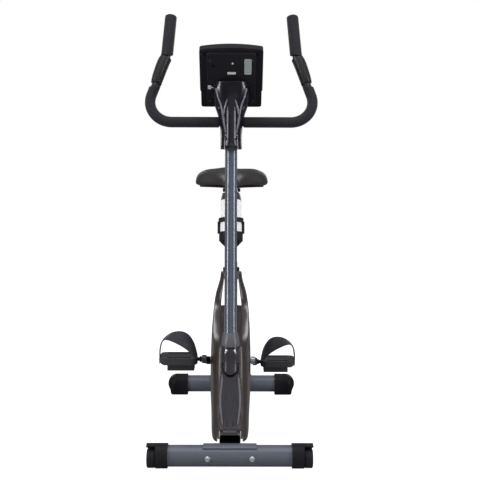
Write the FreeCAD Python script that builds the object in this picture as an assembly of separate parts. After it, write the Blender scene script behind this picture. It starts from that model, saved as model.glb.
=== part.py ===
import FreeCAD, Part
import math
import os

# Upright magnetic exercise bike, in millimetres.
# X runs across the bike, Y from the front foot bar (negative) to the rider (positive), Z up from the floor.
# Side-view places are given as (back, up): millimetres behind the front foot bar and above the floor.

# ---- driving dimensions ------------------------------------------------------------------
MIDDLE = 399.5              # middle of the whole bike, behind the front foot bar
WHEELBASE = 765.0           # front foot bar to rear foot bar
BAR_UP = 36.0               # height of both foot bars' centres
BAR_R = 30.0
BAR_LENGTH = 467.0          # each foot bar with its end caps
WALL = 2.0                  # steel tube wall
BOLT_R = 4.0
BOLT_SPACING = 124.0        # between the two bolts of a foot bar

POST_LEAN = 12.3            # degrees, back from vertical
POST_FOOT = (210.0, 305.0)  # a point of the post's axis
POST_R = 19.05
STUB_R = 22.5
CLAMP_UP = 980.0            # height of the handlebar's straight run
BAR_BACK = 370.0
BAR_TUBE_R = 12.7
BAR_LEAN = 22.0             # degrees, of the plane that holds the two horns
FOAM_R = 16.8
GRIP_R = 19.3

SEAT_LEAN = 18.0            # degrees, back from vertical
SEAT_FOOT = (600.0, 470.0)  # a point of the seat tube's axis
SLEEVE_R = 21.2
SEAT_POST_R = 15.9
SADDLE_PIVOT_UP = 755.5

CRANK = (420.0, 206.5)      # crank axis
CRANK_LENGTH = 150.0
CRANK_TILT = 15.2           # degrees that the forward crank is tilted up
PULLEY_R = 105.0
FLYWHEEL = (290.0, 207.0)   # flywheel axis
FLYWHEEL_R = 78.0
SMALL_PULLEY_R = 17.5
MAGNET_PIVOT = (334.0, 130.8)

SHELL = 3.0                 # wall of the plastic covers
SEAM_UP = 360.0             # where the seat tube cover meets the side covers
VALLEY_HALF = 35.0          # half width of the channel in the top of the covers
RUNNING = 0.05              # radial clearance of a running fit
GAP = 0.3                   # clearance between moving and fixed covers

CONSOLE_FOOT = (400.0, 1026.0)   # lower edge of the console's back face
CONSOLE_LEAN = 35.0
CONSOLE_WIDE = 195.0
CONSOLE_TALL = 206.0        # at the middle of its arched top
CONSOLE_RISE = 8.5          # of the arch over the top corners
CONSOLE_DEEP = 38.0

X_AXIS = FreeCAD.Vector(1, 0, 0)
Y_AXIS = FreeCAD.Vector(0, 1, 0)
Z_AXIS = FreeCAD.Vector(0, 0, 1)
SIDES = (-1, 1)

nodes = {}


# ---- places and simple shapes -------------------------------------------------------------
def at(across, back, up):
    """A point from its place across the bike, behind the front foot bar and above the floor."""
    return FreeCAD.Vector(across, back - MIDDLE, up)


def lean(degrees):
    """The upward direction that leans back by so many degrees."""
    return FreeCAD.Vector(0, math.sin(math.radians(degrees)), math.cos(math.radians(degrees)))


def on_post(up, across=0.0):
    """The point of the front post's axis at a height."""
    return at(across, POST_FOOT[0] + (up - POST_FOOT[1]) * math.tan(math.radians(POST_LEAN)), up)


def on_seat(up, across=0.0):
    """The point of the seat tube's axis at a height."""
    return at(across, SEAT_FOOT[0] + (up - SEAT_FOOT[1]) * math.tan(math.radians(SEAT_LEAN)), up)


def rod(start, axis, radius, length):
    return Part.makeCylinder(radius, length, start, axis)


def pipe(start, axis, outer, inner, length):
    return rod(start, axis, outer, length).cut(rod(start, axis, inner, length))


def cross_rod(place, radius, left, right):
    """A rod across the bike at a side-view place."""
    return rod(at(left, *place), X_AXIS, radius, right - left)


def cross_pipe(place, outer, inner, left, right):
    return pipe(at(left, *place), X_AXIS, outer, inner, right - left)


def block(x0, x1, back0, back1, up0, up1):
    corner = at(min(x0, x1), back0, up0)
    return Part.makeBox(abs(x1 - x0), back1 - back0, up1 - up0, corner)


def side_prism(outline, x0, x1):
    """A side-view outline of (back, up) points, carried across the bike."""
    points = [at(x0, back, up) for back, up in outline]
    face = Part.Face(Part.makePolygon(points + points[:1]))
    return face.extrude(FreeCAD.Vector(x1 - x0, 0, 0))


def front_prism(outline, back0, back1):
    """A front-view outline of (across, up) points, carried from front to back."""
    points = [at(across, back0, up) for across, up in outline]
    face = Part.Face(Part.makePolygon(points + points[:1]))
    return face.extrude(FreeCAD.Vector(0, back1 - back0, 0))


def arc_strip(place, inner, outer, from_deg, to_deg, x0, x1):
    """Part of a ring about an axis across the bike; 0 degrees is up and positive turns to the rear."""
    def point(radius, degrees):
        turn = math.radians(degrees)
        return at(x0, place[0] + radius * math.sin(turn), place[1] + radius * math.cos(turn))

    middle = (from_deg + to_deg) / 2.0
    outside = Part.Arc(point(outer, from_deg), point(outer, middle), point(outer, to_deg)).toShape()
    inside = Part.Arc(point(inner, to_deg), point(inner, middle), point(inner, from_deg)).toShape()
    end = Part.makeLine(point(outer, to_deg), point(inner, to_deg))
    start = Part.makeLine(point(inner, from_deg), point(outer, from_deg))
    return Part.Face(Part.Wire([outside, end, inside, start])).extrude(FreeCAD.Vector(x1 - x0, 0, 0))


def oval(centre, half_x, half_y, power, points=28):
    """A closed smooth curve in a level plane: a circle at power 2, squarer as power grows."""
    curve = []
    for step in range(points):
        turn = 2.0 * math.pi * (step + 0.5) / points
        c, s = math.cos(turn), math.sin(turn)
        across = math.copysign(abs(c) ** (2.0 / power), c) * half_x
        back = math.copysign(abs(s) ** (2.0 / power), s) * half_y
        curve.append(centre + FreeCAD.Vector(across, back, 0))
    spline = Part.BSplineCurve()
    spline.interpolate(curve, PeriodicFlag=True)
    return Part.Wire([spline.toShape()])


def loft(wires):
    return Part.makeLoft(wires, True)


def tilted(shape, degrees, place):
    """Leans a shape that was built upright at a side-view place."""
    turned = shape.copy()
    turned.rotate(at(0, *place), X_AXIS, -degrees)
    return turned


def button_bolt(start, axis, length, nut=True):
    """Button-head bolt: its head is in front of start, its shank runs along axis, a nut at the far end."""
    head = Part.makeCone(8.4, 5.6, 4.6, start, axis * -1)
    socket = rod(start - axis * 5.0, axis, 3.2, 3.4)
    shape = head.cut(socket).fuse(rod(start, axis, BOLT_R, length))
    if nut:
        shape = shape.fuse(rod(start + axis * (length - 8.0), axis, 6.8, 6.5))
    return shape


def rounded_plate(width, height, radius, thick):
    """A plate with round corners, centred on x, standing on z = 0, with its front on y = 0."""
    plate = Part.makeBox(width, thick, height, FreeCAD.Vector(-width / 2.0, 0, 0))
    corners = [e for e in plate.Edges if abs(e.tangentAt(e.FirstParameter).y) > 0.9]
    return plate.makeFillet(radius, corners)


# ---- foot bars ------------------------------------------------------------------------------
FRONT = (0.0, BAR_UP)
REAR = (WHEELBASE, BAR_UP)
CAP_SPLIT = 206.0           # where the front cap's collar ends and the wheel starts
WHEEL_R = 27.0
WHEEL_PLACE = (0.0, 29.0)


def foot_bars():
    nodes["front_stabilizer"] = cross_pipe(FRONT, BAR_R, BAR_R - WALL, -196, 196)
    nodes["rear_stabilizer"] = cross_pipe(REAR, BAR_R, BAR_R - WALL, -205, 205)
    for name, place in (("front_stabilizer", FRONT), ("rear_stabilizer", REAR)):
        for side in SIDES:
            hole = rod(at(side * BOLT_SPACING / 2, place[0] - 50, place[1]), Y_AXIS, BOLT_R + 0.5, 100)
            nodes[name] = nodes[name].cut(hole)


def cradles():
    """Curved plates, one on each foot bar, that the main tube is welded to."""
    thick = 4.0
    inner = BAR_R + 0.2
    front = arc_strip(FRONT, inner, inner + thick, -35, 112, -75, 75)
    rear = arc_strip(REAR, inner, inner + thick, -112, 35, -75, 75)
    for side in SIDES:
        across = side * BOLT_SPACING / 2
        front = front.cut(rod(at(across, 0, BAR_UP), Y_AXIS, BOLT_R + 0.5, 60))
        rear = rear.cut(rod(at(across, WHEELBASE - 60, BAR_UP), Y_AXIS, BOLT_R + 0.5, 60))
    nodes["bar_cradles"] = Part.makeCompound([front, rear])


def front_caps():
    caps = []
    for side in SIDES:
        low, high = sorted((side * 174.0, side * (CAP_SPLIT + 2)))
        collar = cross_rod(FRONT, 35.0, low, high)
        collar = collar.cut(block(side * 170, side * 210, -40, 40, 0, 3.5))
        low, high = sorted((side * 206.0, side * 233.5))
        roof = arc_strip(FRONT, 30.5, 35.0, -25, 95, low, high)
        foot = block(side * 177, side * 204, 8, 26, 0, 14)
        cap = collar.fuse(roof).fuse(foot)
        low, high = sorted((side * 170.0, side * 200.0))
        cap = cap.cut(cross_rod(FRONT, BAR_R, low, high))
        low, high = sorted((side * 190.0, side * 240.0))
        cap = cap.cut(cross_rod(WHEEL_PLACE, BOLT_R, low, high))
        caps.append(cap)
    nodes["front_caps"] = Part.makeCompound(caps)


def transport_wheels():
    """Wheels that only touch the floor when the bike is tipped forward onto them."""
    for name, side in (("wheel_left", -1), ("wheel_right", 1)):
        low, high = sorted((side * 208.6, side * 232.6))
        wheel = cross_rod(WHEEL_PLACE, WHEEL_R, low, high)
        rims = [e for e in wheel.Edges if isinstance(e.Curve, Part.Circle)]
        wheel = wheel.makeFillet(4.0, rims)
        low, high = sorted((side * 227.0, side * 240.0))
        wheel = wheel.cut(cross_pipe(WHEEL_PLACE, 20.0, 9.5, low, high))
        low, high = sorted((side * 228.5, side * 240.0))
        wheel = wheel.cut(cross_rod(WHEEL_PLACE, 9.5, low, high))
        wheel = wheel.cut(cross_rod(WHEEL_PLACE, BOLT_R + RUNNING, -240, 240))
        nodes[name] = wheel


def rear_caps():
    """End caps with a round top, a blunt nose and a flat foot."""
    caps = []
    for side in SIDES:
        turns = [step * math.pi / 16 for step in range(9)]
        curve = [at(side * (201.5 + 32.0 * math.cos(turn)), WHEELBASE + BAR_UP * math.sin(turn), BAR_UP)
                 for turn in turns]
        nose = Part.BSplineCurve()
        nose.interpolate(curve)
        inner = [at(side * 160, WHEELBASE + BAR_UP, BAR_UP), at(side * 160, WHEELBASE, BAR_UP)]
        corners = [curve[-1]] + inner + [curve[0]]
        edges = [nose.toShape()] + [Part.makeLine(a, b) for a, b in zip(corners, corners[1:])]
        plan = Part.Face(Part.Wire(edges))
        upper = plan.revolve(at(0, *REAR), X_AXIS, 180)
        half = plan.extrude(Z_AXIS * -BAR_UP)
        lower = half.fuse(half.mirror(at(0, *REAR), Y_AXIS))
        outline = [(side * x, up) for x, up in
                   ((150, BAR_UP), (235, BAR_UP), (224, 17), (222, 5), (217, 0), (150, 0))]
        lower = lower.common(front_prism(outline, WHEELBASE - 40, WHEELBASE + 40))
        ends = [(WHEELBASE + y, up) for y, up in
                ((-38, BAR_UP), (-36, 22), (-31, 5), (-26, 0), (26, 0), (31, 5), (36, 22), (38, BAR_UP))]
        lower = lower.common(side_prism(ends, -300, 300))
        low, high = sorted((side * 150.0, side * 206.0))
        caps.append(upper.fuse(lower).cut(cross_rod(REAR, BAR_R, low, high)))
    nodes["rear_caps"] = Part.makeCompound(caps)


# ---- frame ----------------------------------------------------------------------------------
TUBE_LOW = 50.0
TUBE_TOP = 90.0
TUBE_HALF = 30.0


def main_tube():
    start, end = 12.0, WHEELBASE - 12.0
    layers = []
    for inset in (0.0, WALL):
        bar = block(-TUBE_HALF + inset, TUBE_HALF - inset, start, end, TUBE_LOW + inset, TUBE_TOP - inset)
        long_edges = [e for e in bar.Edges if abs(e.tangentAt(e.FirstParameter).y) > 0.9]
        layers.append(bar.makeFillet(8.0 - inset, long_edges))
    tube = layers[0].cut(layers[1])
    for place in (FRONT, REAR):
        tube = tube.cut(cross_rod(place, BAR_R + 4.2, -60, 60))
    tube = tube.cut(block(-40, 40, 0, 20, 40, 100))
    tube = tube.cut(block(-40, 40, WHEELBASE - 20, WHEELBASE, 40, 100))
    nodes["main_tube"] = tube


def post_stub():
    stub = pipe(on_post(60), lean(POST_LEAN), STUB_R, POST_R + 0.2, 250)
    nodes["post_stub"] = stub.cut(block(-60, 60, 0, 400, 0, TUBE_TOP))


def seat_tube():
    axis = lean(SEAT_LEAN)
    top = on_seat(505)
    sleeve = pipe(top - axis * 460, axis, SLEEVE_R, 18.0, 460)
    sleeve = sleeve.cut(block(-60, 60, 0, 700, -60, TUBE_TOP))
    nodes["seat_tube"] = sleeve.cut(pin_hole(4.6))


def pin_direction():
    """The way the seat pin pulls out: forward and a little up, square to the seat tube."""
    return FreeCAD.Vector(0, -math.cos(math.radians(SEAT_LEAN)), math.sin(math.radians(SEAT_LEAN)))


def pin_hole(radius):
    return rod(on_seat(476), pin_direction(), radius, 40)


def crank_shell():
    """The crank's bearing shell on its short upright."""
    upright = block(-15, 15, CRANK[0] - 20, CRANK[0] + 20, TUBE_TOP, CRANK[1])
    shell = cross_rod(CRANK, 21.0, -30, 30).fuse(upright)
    nodes["crank_shell"] = shell.cut(cross_rod(CRANK, 17.5, -40, 40))


def axle_brackets():
    """Two plates between the post stub and the main tube that carry the flywheel."""
    outline = [(178, TUBE_TOP), (345, TUBE_TOP), (345, 150), (310, 220), (290, 232),
               (262, 222), (205, 190)]
    plates = []
    for side in SIDES:
        low, high = sorted((side * 23.0, side * 27.0))
        plate = side_prism(outline, low, high)
        plate = plate.cut(cross_rod(FLYWHEEL, 14.0, -40, 40))
        plates.append(plate.cut(cross_rod(MAGNET_PIVOT, BOLT_R, -40, 0)))
    nodes["axle_brackets"] = Part.makeCompound(plates)


def bearings():
    rings = []
    for side in SIDES:
        low, high = sorted((side * 20.0, side * 30.0))
        rings.append(cross_pipe(CRANK, 17.5, 8.5 + RUNNING, low, high))
        low, high = sorted((side * 21.0, side * 29.0))
        rings.append(cross_pipe(FLYWHEEL, 14.0, 6.0 + RUNNING, low, high))
    nodes["bearings"] = Part.makeCompound(rings)


def front_post():
    axis = lean(POST_LEAN)
    length = (948.0 - 225.0) / math.cos(math.radians(POST_LEAN))
    tube = pipe(on_post(225), axis, POST_R, POST_R - WALL, length)
    nodes["front_post"] = tube.cut(block(-60, 60, 200, 500, 944.5, 1100))


CLAMP_BOLTS = [(across, back) for across in (-14, 14) for back in (354.5, 385.5)]


def bar_clamp():
    """Clamp halves for the handlebar, and the folded bracket that carries the console."""
    place = (BAR_BACK, CLAMP_UP)
    bore = cross_rod(place, BAR_TUBE_R + RUNNING, -60, 60)
    lower = block(-22, 22, 350, 390, 945, CLAMP_UP - 0.5).cut(bore)
    upper = block(-22, 22, 350, 390, CLAMP_UP + 0.5, 1003).cut(bore)
    bracket = block(-22, 22, 350, 390, 1003, 1007)
    outline = [(352, 1006), (390, 1006), (390, 1044), (352, 1096), (344, 1084)]
    for side in SIDES:
        bracket = bracket.fuse(side_prism(outline, side * 19, side * 22))
    bracket = bracket.cut(console_space(4.0))
    bracket = bracket.fuse(to_console(Part.makeBox(44, 4, 66, FreeCAD.Vector(-22, -4, 14))))
    halves = [lower, upper, bracket.removeSplitter()]
    for across, back in CLAMP_BOLTS:
        screw = rod(at(across, back, 950), Z_AXIS, 2.5, 80)
        halves = [half.cut(screw) for half in halves]
    nodes["bar_clamp"] = Part.makeCompound(halves)


# ---- covers -----------------------------------------------------------------------------------
# height, front, rear and half width of the housing, and how square its level section is
HOUSING = (
    (66, 26, 505, 54.0, 6.0),
    (82, 34, 525, 56.0, 5.6),
    (105, 66, 548, 57.5, 5.0),
    (140, 101, 575, 60.5, 4.4),
    (180, 139, 596, 63.0, 4.0),
    (224, 176, 607, 63.5, 3.8),
    (268, 200, 615, 63.0, 3.6),
    (306, 222, 621, 61.8, 3.5),
    (328, 290, 625, 61.0, 3.3),
    (346, 390, 629, 60.2, 3.1),
    (360, 482, 632, 59.2, 3.0),
    (378, 530, 635, 57.0, 3.0),
    (408, 548, 639, 51.5, 3.0),
    (436, 557, 642, 43.0, 3.0),
    (456, 561, 644, 38.0, 3.0),
    (474, 564, 645, 36.0, 3.0),
)


def housing_solid(inset):
    """The outer shape of the covers, moved in by inset."""
    wires = []
    for up, front, rear, half, power in HOUSING:
        centre = at(0, (front + rear) / 2.0, up)
        wires.append(oval(centre, half - inset, (rear - front) / 2.0 - inset, power))
    return loft(wires)


def valley(widen):
    """The channel in the top of the covers, and the window between the two horns above it."""
    floor = [(228, 296 - widen), (640, 356 - widen), (700, 365 - widen), (700, 520), (228, 520)]
    channel = side_prism(floor, -100, 100)
    half = VALLEY_HALF + widen
    top = 455 + widen
    outline = [(-half, 250), (half, 250), (half, 372), (24 + widen, top), (-24 - widen, top), (-half, 372)]
    return channel.common(front_prism(outline, 200, 720))


def boot_envelope(grow):
    """The outer shape of the boot round the foot of the post."""
    wires = []
    for up, half in ((205, 26.0), (240, 26.3), (285, 26.3), (306, 25.5), (314, 23.5), (322, 20.4)):
        wires.append(oval(on_post(up), half + grow, half + 1.5 + grow, 2.2, 20))
    return loft(wires)


def side_covers_and_seat_cover():
    outer = housing_solid(0)
    inner = housing_solid(SHELL)
    inner = inner.common(block(-80, 80, 0, 700, 66 + SHELL, 474 - SHELL))
    skin = outer.cut(valley(0)).cut(inner.cut(valley(SHELL)))
    skin = skin.cut(rod(on_seat(300), lean(SEAT_LEAN), SLEEVE_R + 0.2, 300))
    skin = skin.cut(boot_envelope(0.2))
    skin = skin.cut(rod(on_post(100), lean(POST_LEAN), STUB_R + 1.0, 240))
    skin = skin.cut(block(-36, 36, 0, 700, 60, 74))
    skin = skin.cut(block(-TUBE_HALF - 0.5, TUBE_HALF + 0.5, 0, 700, 60, TUBE_TOP + 0.5))
    skin = skin.cut(cross_rod(CRANK, 17.0, -80, 80))
    for name, low, high in (("housing_left", -80, -0.2), ("housing_right", 0.2, 80)):
        nodes[name] = skin.common(block(low, high, 0, 700, 60, SEAM_UP - 0.2))
    nodes["seat_tube_cover"] = skin.common(block(-80, 80, 0, 700, SEAM_UP + 0.2, 480))


def spine_cover():
    """The shield over the front of the covers, from the boot down to the foot bar."""
    outline = [(-20, 96), (-12, 88), (12, 88), (20, 96), (32, 150), (33, 172), (26, 226), (26, 250),
               (-26, 250), (-26, 226), (-33, 172), (-32, 150)]
    shield = housing_solid(-9).cut(housing_solid(-GAP))
    shield = shield.common(front_prism(outline, 0, 260)).cut(boot_envelope(GAP))
    shield = shield.cut(block(-TUBE_HALF - 0.5, TUBE_HALF + 0.5, 0, 700, 40, TUBE_TOP + 0.5))
    for side in SIDES:
        groove = rod(at(side * 15, 34, 96), FreeCAD.Vector(side * 0.05, 0.62, 0.78), 6.0, 95)
        shield = shield.cut(groove)
    nodes["spine_cover"] = shield


POST_BOLTS_UP = (245, 275)


def post_boot():
    body = boot_envelope(0)
    body = body.cut(rod(on_post(150), lean(POST_LEAN), STUB_R + 0.2, 163))
    body = body.cut(rod(on_post(150), lean(POST_LEAN), POST_R + 0.2, 200))
    for up in POST_BOLTS_UP:
        body = body.cut(rod(on_post(up) + KNOB_OUT * 20, KNOB_OUT, 6.0, 30))
    trim = rod(at(0, 100, 252), Y_AXIS, 27.5, 200).fuse(block(-40, 40, 100, 300, 252, 330))
    nodes["post_boot"] = body.common(trim)


# height, front, rear and half width of the neck cover
NECK = (
    (895, 303, 374, 33.0),
    (925, 306, 388, 33.4),
    (955, 309, 406, 34.5),
    (985, 311, 413, 38.0),
    (1008, 313, 417, 44.0),
    (1030, 315, 421, 51.5),
    (1055, 318, 425, 57.0),
    (1080, 322, 430, 59.0),
    (1106, 327, 436, 56.0),
)


def neck_solid(inset):
    wires = []
    for up, front, rear, half in NECK:
        centre = at(0, (front + rear) / 2.0, up)
        wires.append(oval(centre, half - inset, (rear - front) / 2.0 - inset, 2.6))
    return loft(wires)


def tongue(grow):
    """Front-view outline of the neck cover's front half, a tongue that widens upward."""
    outline = [(-18 - grow, 906 - grow), (0, 914 - grow), (18 + grow, 906 - grow), (19 + grow, 950),
               (34 + grow, 1010),
               (50 + grow, 1060), (53 + grow, 1110), (-53 - grow, 1110), (-50 - grow, 1060),
               (-34 - grow, 1010), (-19 - grow, 950)]
    return front_prism(outline, 280, 352)


def neck_covers():
    skin = neck_solid(0).cut(neck_solid(SHELL).common(block(-90, 90, 250, 500, 895 + SHELL, 1106)))
    skin = skin.cut(rod(on_post(850), lean(POST_LEAN), POST_R + 0.2, 120))
    skin = skin.cut(console_space(0.3))
    skin = skin.cut(cross_rod((BAR_BACK, CLAMP_UP), FOAM_R + 0.5, -80, 80))
    skin = skin.cut(knob_shaft(4.3))
    nodes["neck_cover_front"] = skin.common(tongue(0))
    nodes["neck_cover_rear"] = skin.cut(tongue(0.25))


# ---- console ------------------------------------------------------------------------------------
def to_console(shape):
    """Carries a shape from the console's own upright frame (y into it, z up its face) to the bike."""
    moved = shape.copy()
    moved.rotate(FreeCAD.Vector(0, 0, 0), X_AXIS, CONSOLE_LEAN)
    moved.translate(at(0, *CONSOLE_FOOT))
    return moved


def console_space(grow):
    room = Part.makeBox(260, 120, 320, FreeCAD.Vector(-130, -grow, -60))
    return to_console(room)


def console_plate(width, height, radius, y0, y1, z0):
    plate = rounded_plate(width, height, radius, y1 - y0)
    plate.translate(FreeCAD.Vector(0, y0, z0))
    return plate


def console_slab(inset, y0, y1, radius):
    """The console's outline, arched above and a little narrower below, moved in and given a depth."""
    half = CONSOLE_WIDE / 2.0 - inset
    shoulder = CONSOLE_TALL - CONSOLE_RISE - inset
    outline = [(-half, shoulder), (-half, WAIST_UP + 4), (-half + WAIST, WAIST_UP), (-half + WAIST, inset),
               (half - WAIST, inset), (half - WAIST, WAIST_UP), (half, WAIST_UP + 4), (half, shoulder)]
    points = [FreeCAD.Vector(x, y0, z) for x, z in outline]
    crown = FreeCAD.Vector(0, y0, CONSOLE_TALL - inset)
    edges = [Part.makeLine(a, b) for a, b in zip(points, points[1:])]
    edges.append(Part.Arc(points[-1], crown, points[0]).toShape())
    slab = Part.Face(Part.Wire(edges)).extrude(FreeCAD.Vector(0, y1 - y0, 0))
    corners = []
    for edge in slab.Edges:
        middle = edge.CenterOfMass
        along_y = edge.BoundBox.YLength > 1 and edge.BoundBox.XLength < 0.01
        if along_y and (middle.z < inset + 1 or middle.z > shoulder - 1):
            corners.append(edge)
    return slab.makeFillet(radius, corners)


SPLIT = 24.0                # depth of the console's back case
WAIST = 2.5                 # how far the lower part of the sides is set in
WAIST_UP = 56.0
WINDOW = (118.0, 62.0, 108.0)    # width, height and foot of the display window
BUTTON_UP = 58.0
BUTTON_R = 9.0
BUTTONS = (("button_mode", -42.0), ("button_set", 0.0), ("button_reset", 42.0))


def console():
    rim = console_slab(0, 8, SPLIT, 7)
    lower = console_plate(CONSOLE_WIDE - 14, 54, 8, 4, 10, 2)
    panel = console_plate(152, CONSOLE_TALL - 24, 9, 0, 10, 10)
    edges = [e for e in panel.Edges if e.BoundBox.YMax < 0.01]
    panel = panel.makeChamfer(3.0, edges)
    back = rim.fuse(panel).fuse(lower).removeSplitter()
    back = back.cut(console_slab(SHELL, 11, SPLIT + 1, 4))
    nodes["console_back"] = to_console(back)

    width, height, foot = WINDOW
    front = console_slab(0, SPLIT, CONSOLE_DEEP, 7)
    edges = [e for e in front.Edges if e.BoundBox.YMin > CONSOLE_DEEP - 0.01]
    front = front.makeChamfer(3.0, edges)
    front = front.cut(console_slab(SHELL, SPLIT - 1, CONSOLE_DEEP - 4, 4))
    front = front.cut(console_plate(width, height, 5, SPLIT, CONSOLE_DEEP + 1, foot))
    for _, across in BUTTONS:
        front = front.cut(rod(FreeCAD.Vector(across, SPLIT, BUTTON_UP), Y_AXIS, BUTTON_R + GAP, 40))
    nodes["console_front"] = to_console(front)
    glass = console_plate(width - 0.4, height - 0.4, 5, CONSOLE_DEEP - 5, CONSOLE_DEEP - 2, foot + 0.2)
    nodes["console_window"] = to_console(glass)
    board = console_plate(150, 140, 4, SPLIT - 2, SPLIT - 0.4, 36)
    nodes["console_board"] = to_console(board)
    for name, across in BUTTONS:
        cap = rod(FreeCAD.Vector(across, SPLIT + 2.5, BUTTON_UP), Y_AXIS, BUTTON_R, CONSOLE_DEEP - SPLIT - 0.5)
        rims = [e for e in cap.Edges if e.BoundBox.YMin > CONSOLE_DEEP + 1.9]
        nodes[name] = to_console(cap.makeFillet(1.2, rims))


def sensor_plug():
    """The pulse sensors' small white plug in the console's back."""
    plug = Part.makeBox(11, 8, 11, FreeCAD.Vector(-73, -4, 70))
    plug = plug.makeFillet(1.5, [e for e in plug.Edges if abs(e.tangentAt(e.FirstParameter).y) > 0.9])
    plug = plug.cut(nodes_in_console("console_back"))
    nodes["sensor_plug"] = to_console(plug)


def nodes_in_console(name):
    """A node carried back to the console's own frame."""
    shape = nodes[name].copy()
    shape.translate(at(0, *CONSOLE_FOOT) * -1)
    shape.rotate(FreeCAD.Vector(0, 0, 0), X_AXIS, -CONSOLE_LEAN)
    return shape


# ---- resistance knob -------------------------------------------------------------------------------
KNOB_UP = 925.0
KNOB_OUT = FreeCAD.Vector(0, math.cos(math.radians(POST_LEAN)), -math.sin(math.radians(POST_LEAN)))


def knob_shaft(radius):
    return rod(on_post(KNOB_UP) + KNOB_OUT * 22, KNOB_OUT, radius, 50)


def tension_knob():
    face = 47.5
    head = rod(on_post(KNOB_UP) + KNOB_OUT * face, KNOB_OUT, 18.0, 16)
    rims = [e for e in head.Edges if isinstance(e.Curve, Part.Circle)]
    head = head.makeFillet(2.5, rims)
    for step in range(12):
        turn = 2.0 * math.pi * step / 12
        up = lean(POST_LEAN)
        offset = X_AXIS * (math.cos(turn) * 19.2) + up * (math.sin(turn) * 19.2)
        head = head.cut(rod(on_post(KNOB_UP) + offset + KNOB_OUT * face, KNOB_OUT, 2.6, 16))
    shaft = rod(on_post(KNOB_UP) + KNOB_OUT * 23, KNOB_OUT, 4.0, 28)
    nodes["tension_knob"] = head.fuse(shaft)


# ---- handlebar ---------------------------------------------------------------------------------------
HORN = ((283.0, 980.0, 70.0), (207.5, 1195.0, 75.0))     # corners (across, up) and bend radii
HORN_TIP = (198.4, 1322.0)


def bar_point(across, up):
    """A point of the leaning plane that holds the handlebar, from its place across and its height."""
    return at(across, BAR_BACK + (up - CLAMP_UP) * math.tan(math.radians(BAR_LEAN)), up)


def bend(before, corner, after, radius):
    """The arc that rounds a corner, with its first and last points."""
    inward = (before - corner).normalize()
    outward = (after - corner).normalize()
    half = inward.getAngle(outward) / 2.0
    reach = radius / math.tan(half)
    first = corner + inward * reach
    last = corner + outward * reach
    bisector = (inward + outward).normalize()
    middle = corner + bisector * (radius / math.sin(half) - radius)
    return first, Part.Arc(first, middle, last).toShape(), last


def horn_edges(side):
    """The right or left half of the handlebar's centreline, from the middle to the tip."""
    corners = [bar_point(side * x, up) for x, up, _ in HORN]
    tip = bar_point(side * HORN_TIP[0], HORN_TIP[1])
    stops = [bar_point(0, CLAMP_UP)] + corners + [tip]
    edges = []
    here = stops[0]
    for index in (1, 2):
        first, arc, last = bend(stops[index - 1], stops[index], stops[index + 1], HORN[index - 1][2])
        edges += [Part.makeLine(here, first), arc]
        here = last
    edges.append(Part.makeLine(here, tip))
    return edges


def swept(edges, radius):
    """A round solid along tangent edges that start at the first edge's first point."""
    path = Part.Wire(edges)
    start = edges[0].valueAt(edges[0].FirstParameter)
    along = edges[0].tangentAt(edges[0].FirstParameter)
    ring = Part.Wire([Part.makeCircle(radius, start, along)])
    return path.makePipeShell([ring], True, False)


def horn_slab(low, high, side):
    """The part of space beside the bike between two heights, for cutting sleeves to length."""
    return block(side * 100, side * 320, 250, 640, low, high)


SENSOR_LOW = 1104.0
SENSOR_HIGH = 1186.0
# share of the way up, radius and outward offset of a pulse sensor's rings
SENSOR_RINGS = ((0.0, 17.3, 0.0), (0.12, 18.3, 1.3), (0.35, 19.4, 2.5), (0.6, 20.0, 3.1),
                (0.85, 20.3, 2.9), (1.0, 19.6, 1.2))


def pulse_sensor(side, core):
    """A grip pad on the horn's straight run that bulges to the outside."""
    low, high = [bar_point(side * 283.0, 980.0), bar_point(side * 207.5, 1195.0)]
    along = (high - low).normalize()
    wires = []
    for share, radius, offset in SENSOR_RINGS:
        up = SENSOR_LOW + share * (SENSOR_HIGH - SENSOR_LOW)
        centre = low + along * ((up - low.z) / along.z) + X_AXIS * (side * offset)
        wires.append(Part.Wire([Part.makeCircle(radius, centre, along)]))
    return loft(wires).cut(core)


def handlebar():
    bar = []
    foams = []
    grips = []
    sensors = []
    for side in SIDES:
        edges = horn_edges(side)
        core = swept(edges, BAR_TUBE_R)
        bar.append(core.cut(swept(edges, BAR_TUBE_R - WALL)))
        foam = swept(edges, FOAM_R).cut(core)
        middle_cut = block(-38, 38, 300, 440, 900, 1060)
        foam = foam.cut(middle_cut)
        foam = foam.cut(block(side * 20, side * 320, 250, 640, SENSOR_LOW - 9.5, 1400))
        foams.append(foam)
        thick = swept(edges, GRIP_R)
        along = edges[-1].tangentAt(edges[-1].LastParameter)
        tip = rod(bar_point(side * HORN_TIP[0], HORN_TIP[1]), along, GRIP_R, 4.6)
        tip = tip.makeFillet(3.5, [e for e in tip.Edges if isinstance(e.Curve, Part.Circle)][-1:])
        grips.append(thick.cut(core).common(horn_slab(SENSOR_HIGH + 10, 1400, side)).fuse(tip))
        sensors.append(pulse_sensor(side, core))
    nodes["handlebar"] = bar[0].fuse(bar[1]).removeSplitter()
    nodes["foam_sleeves"] = Part.makeCompound(foams)
    nodes["hand_grips"] = Part.makeCompound(grips)
    nodes["pulse_sensors"] = Part.makeCompound(sensors)


# ---- bottle and cage -----------------------------------------------------------------------------------
BOTTLE_R = 33.0
BOTTLE_OUT = 62.0           # bottle axis behind the post axis
BOTTLE_LOW = 625.0          # height on the post axis of the bottle's underside
BOTTLE_TALL = 125.0         # of the bottle's wide part


CAGE_SCREWS = (10, 60)      # up the bottle axis from the bottle's underside


def bottle_place(up):
    """A point of the bottle's axis, opposite the post axis point at a height."""
    return on_post(up) + KNOB_OUT * BOTTLE_OUT


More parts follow.
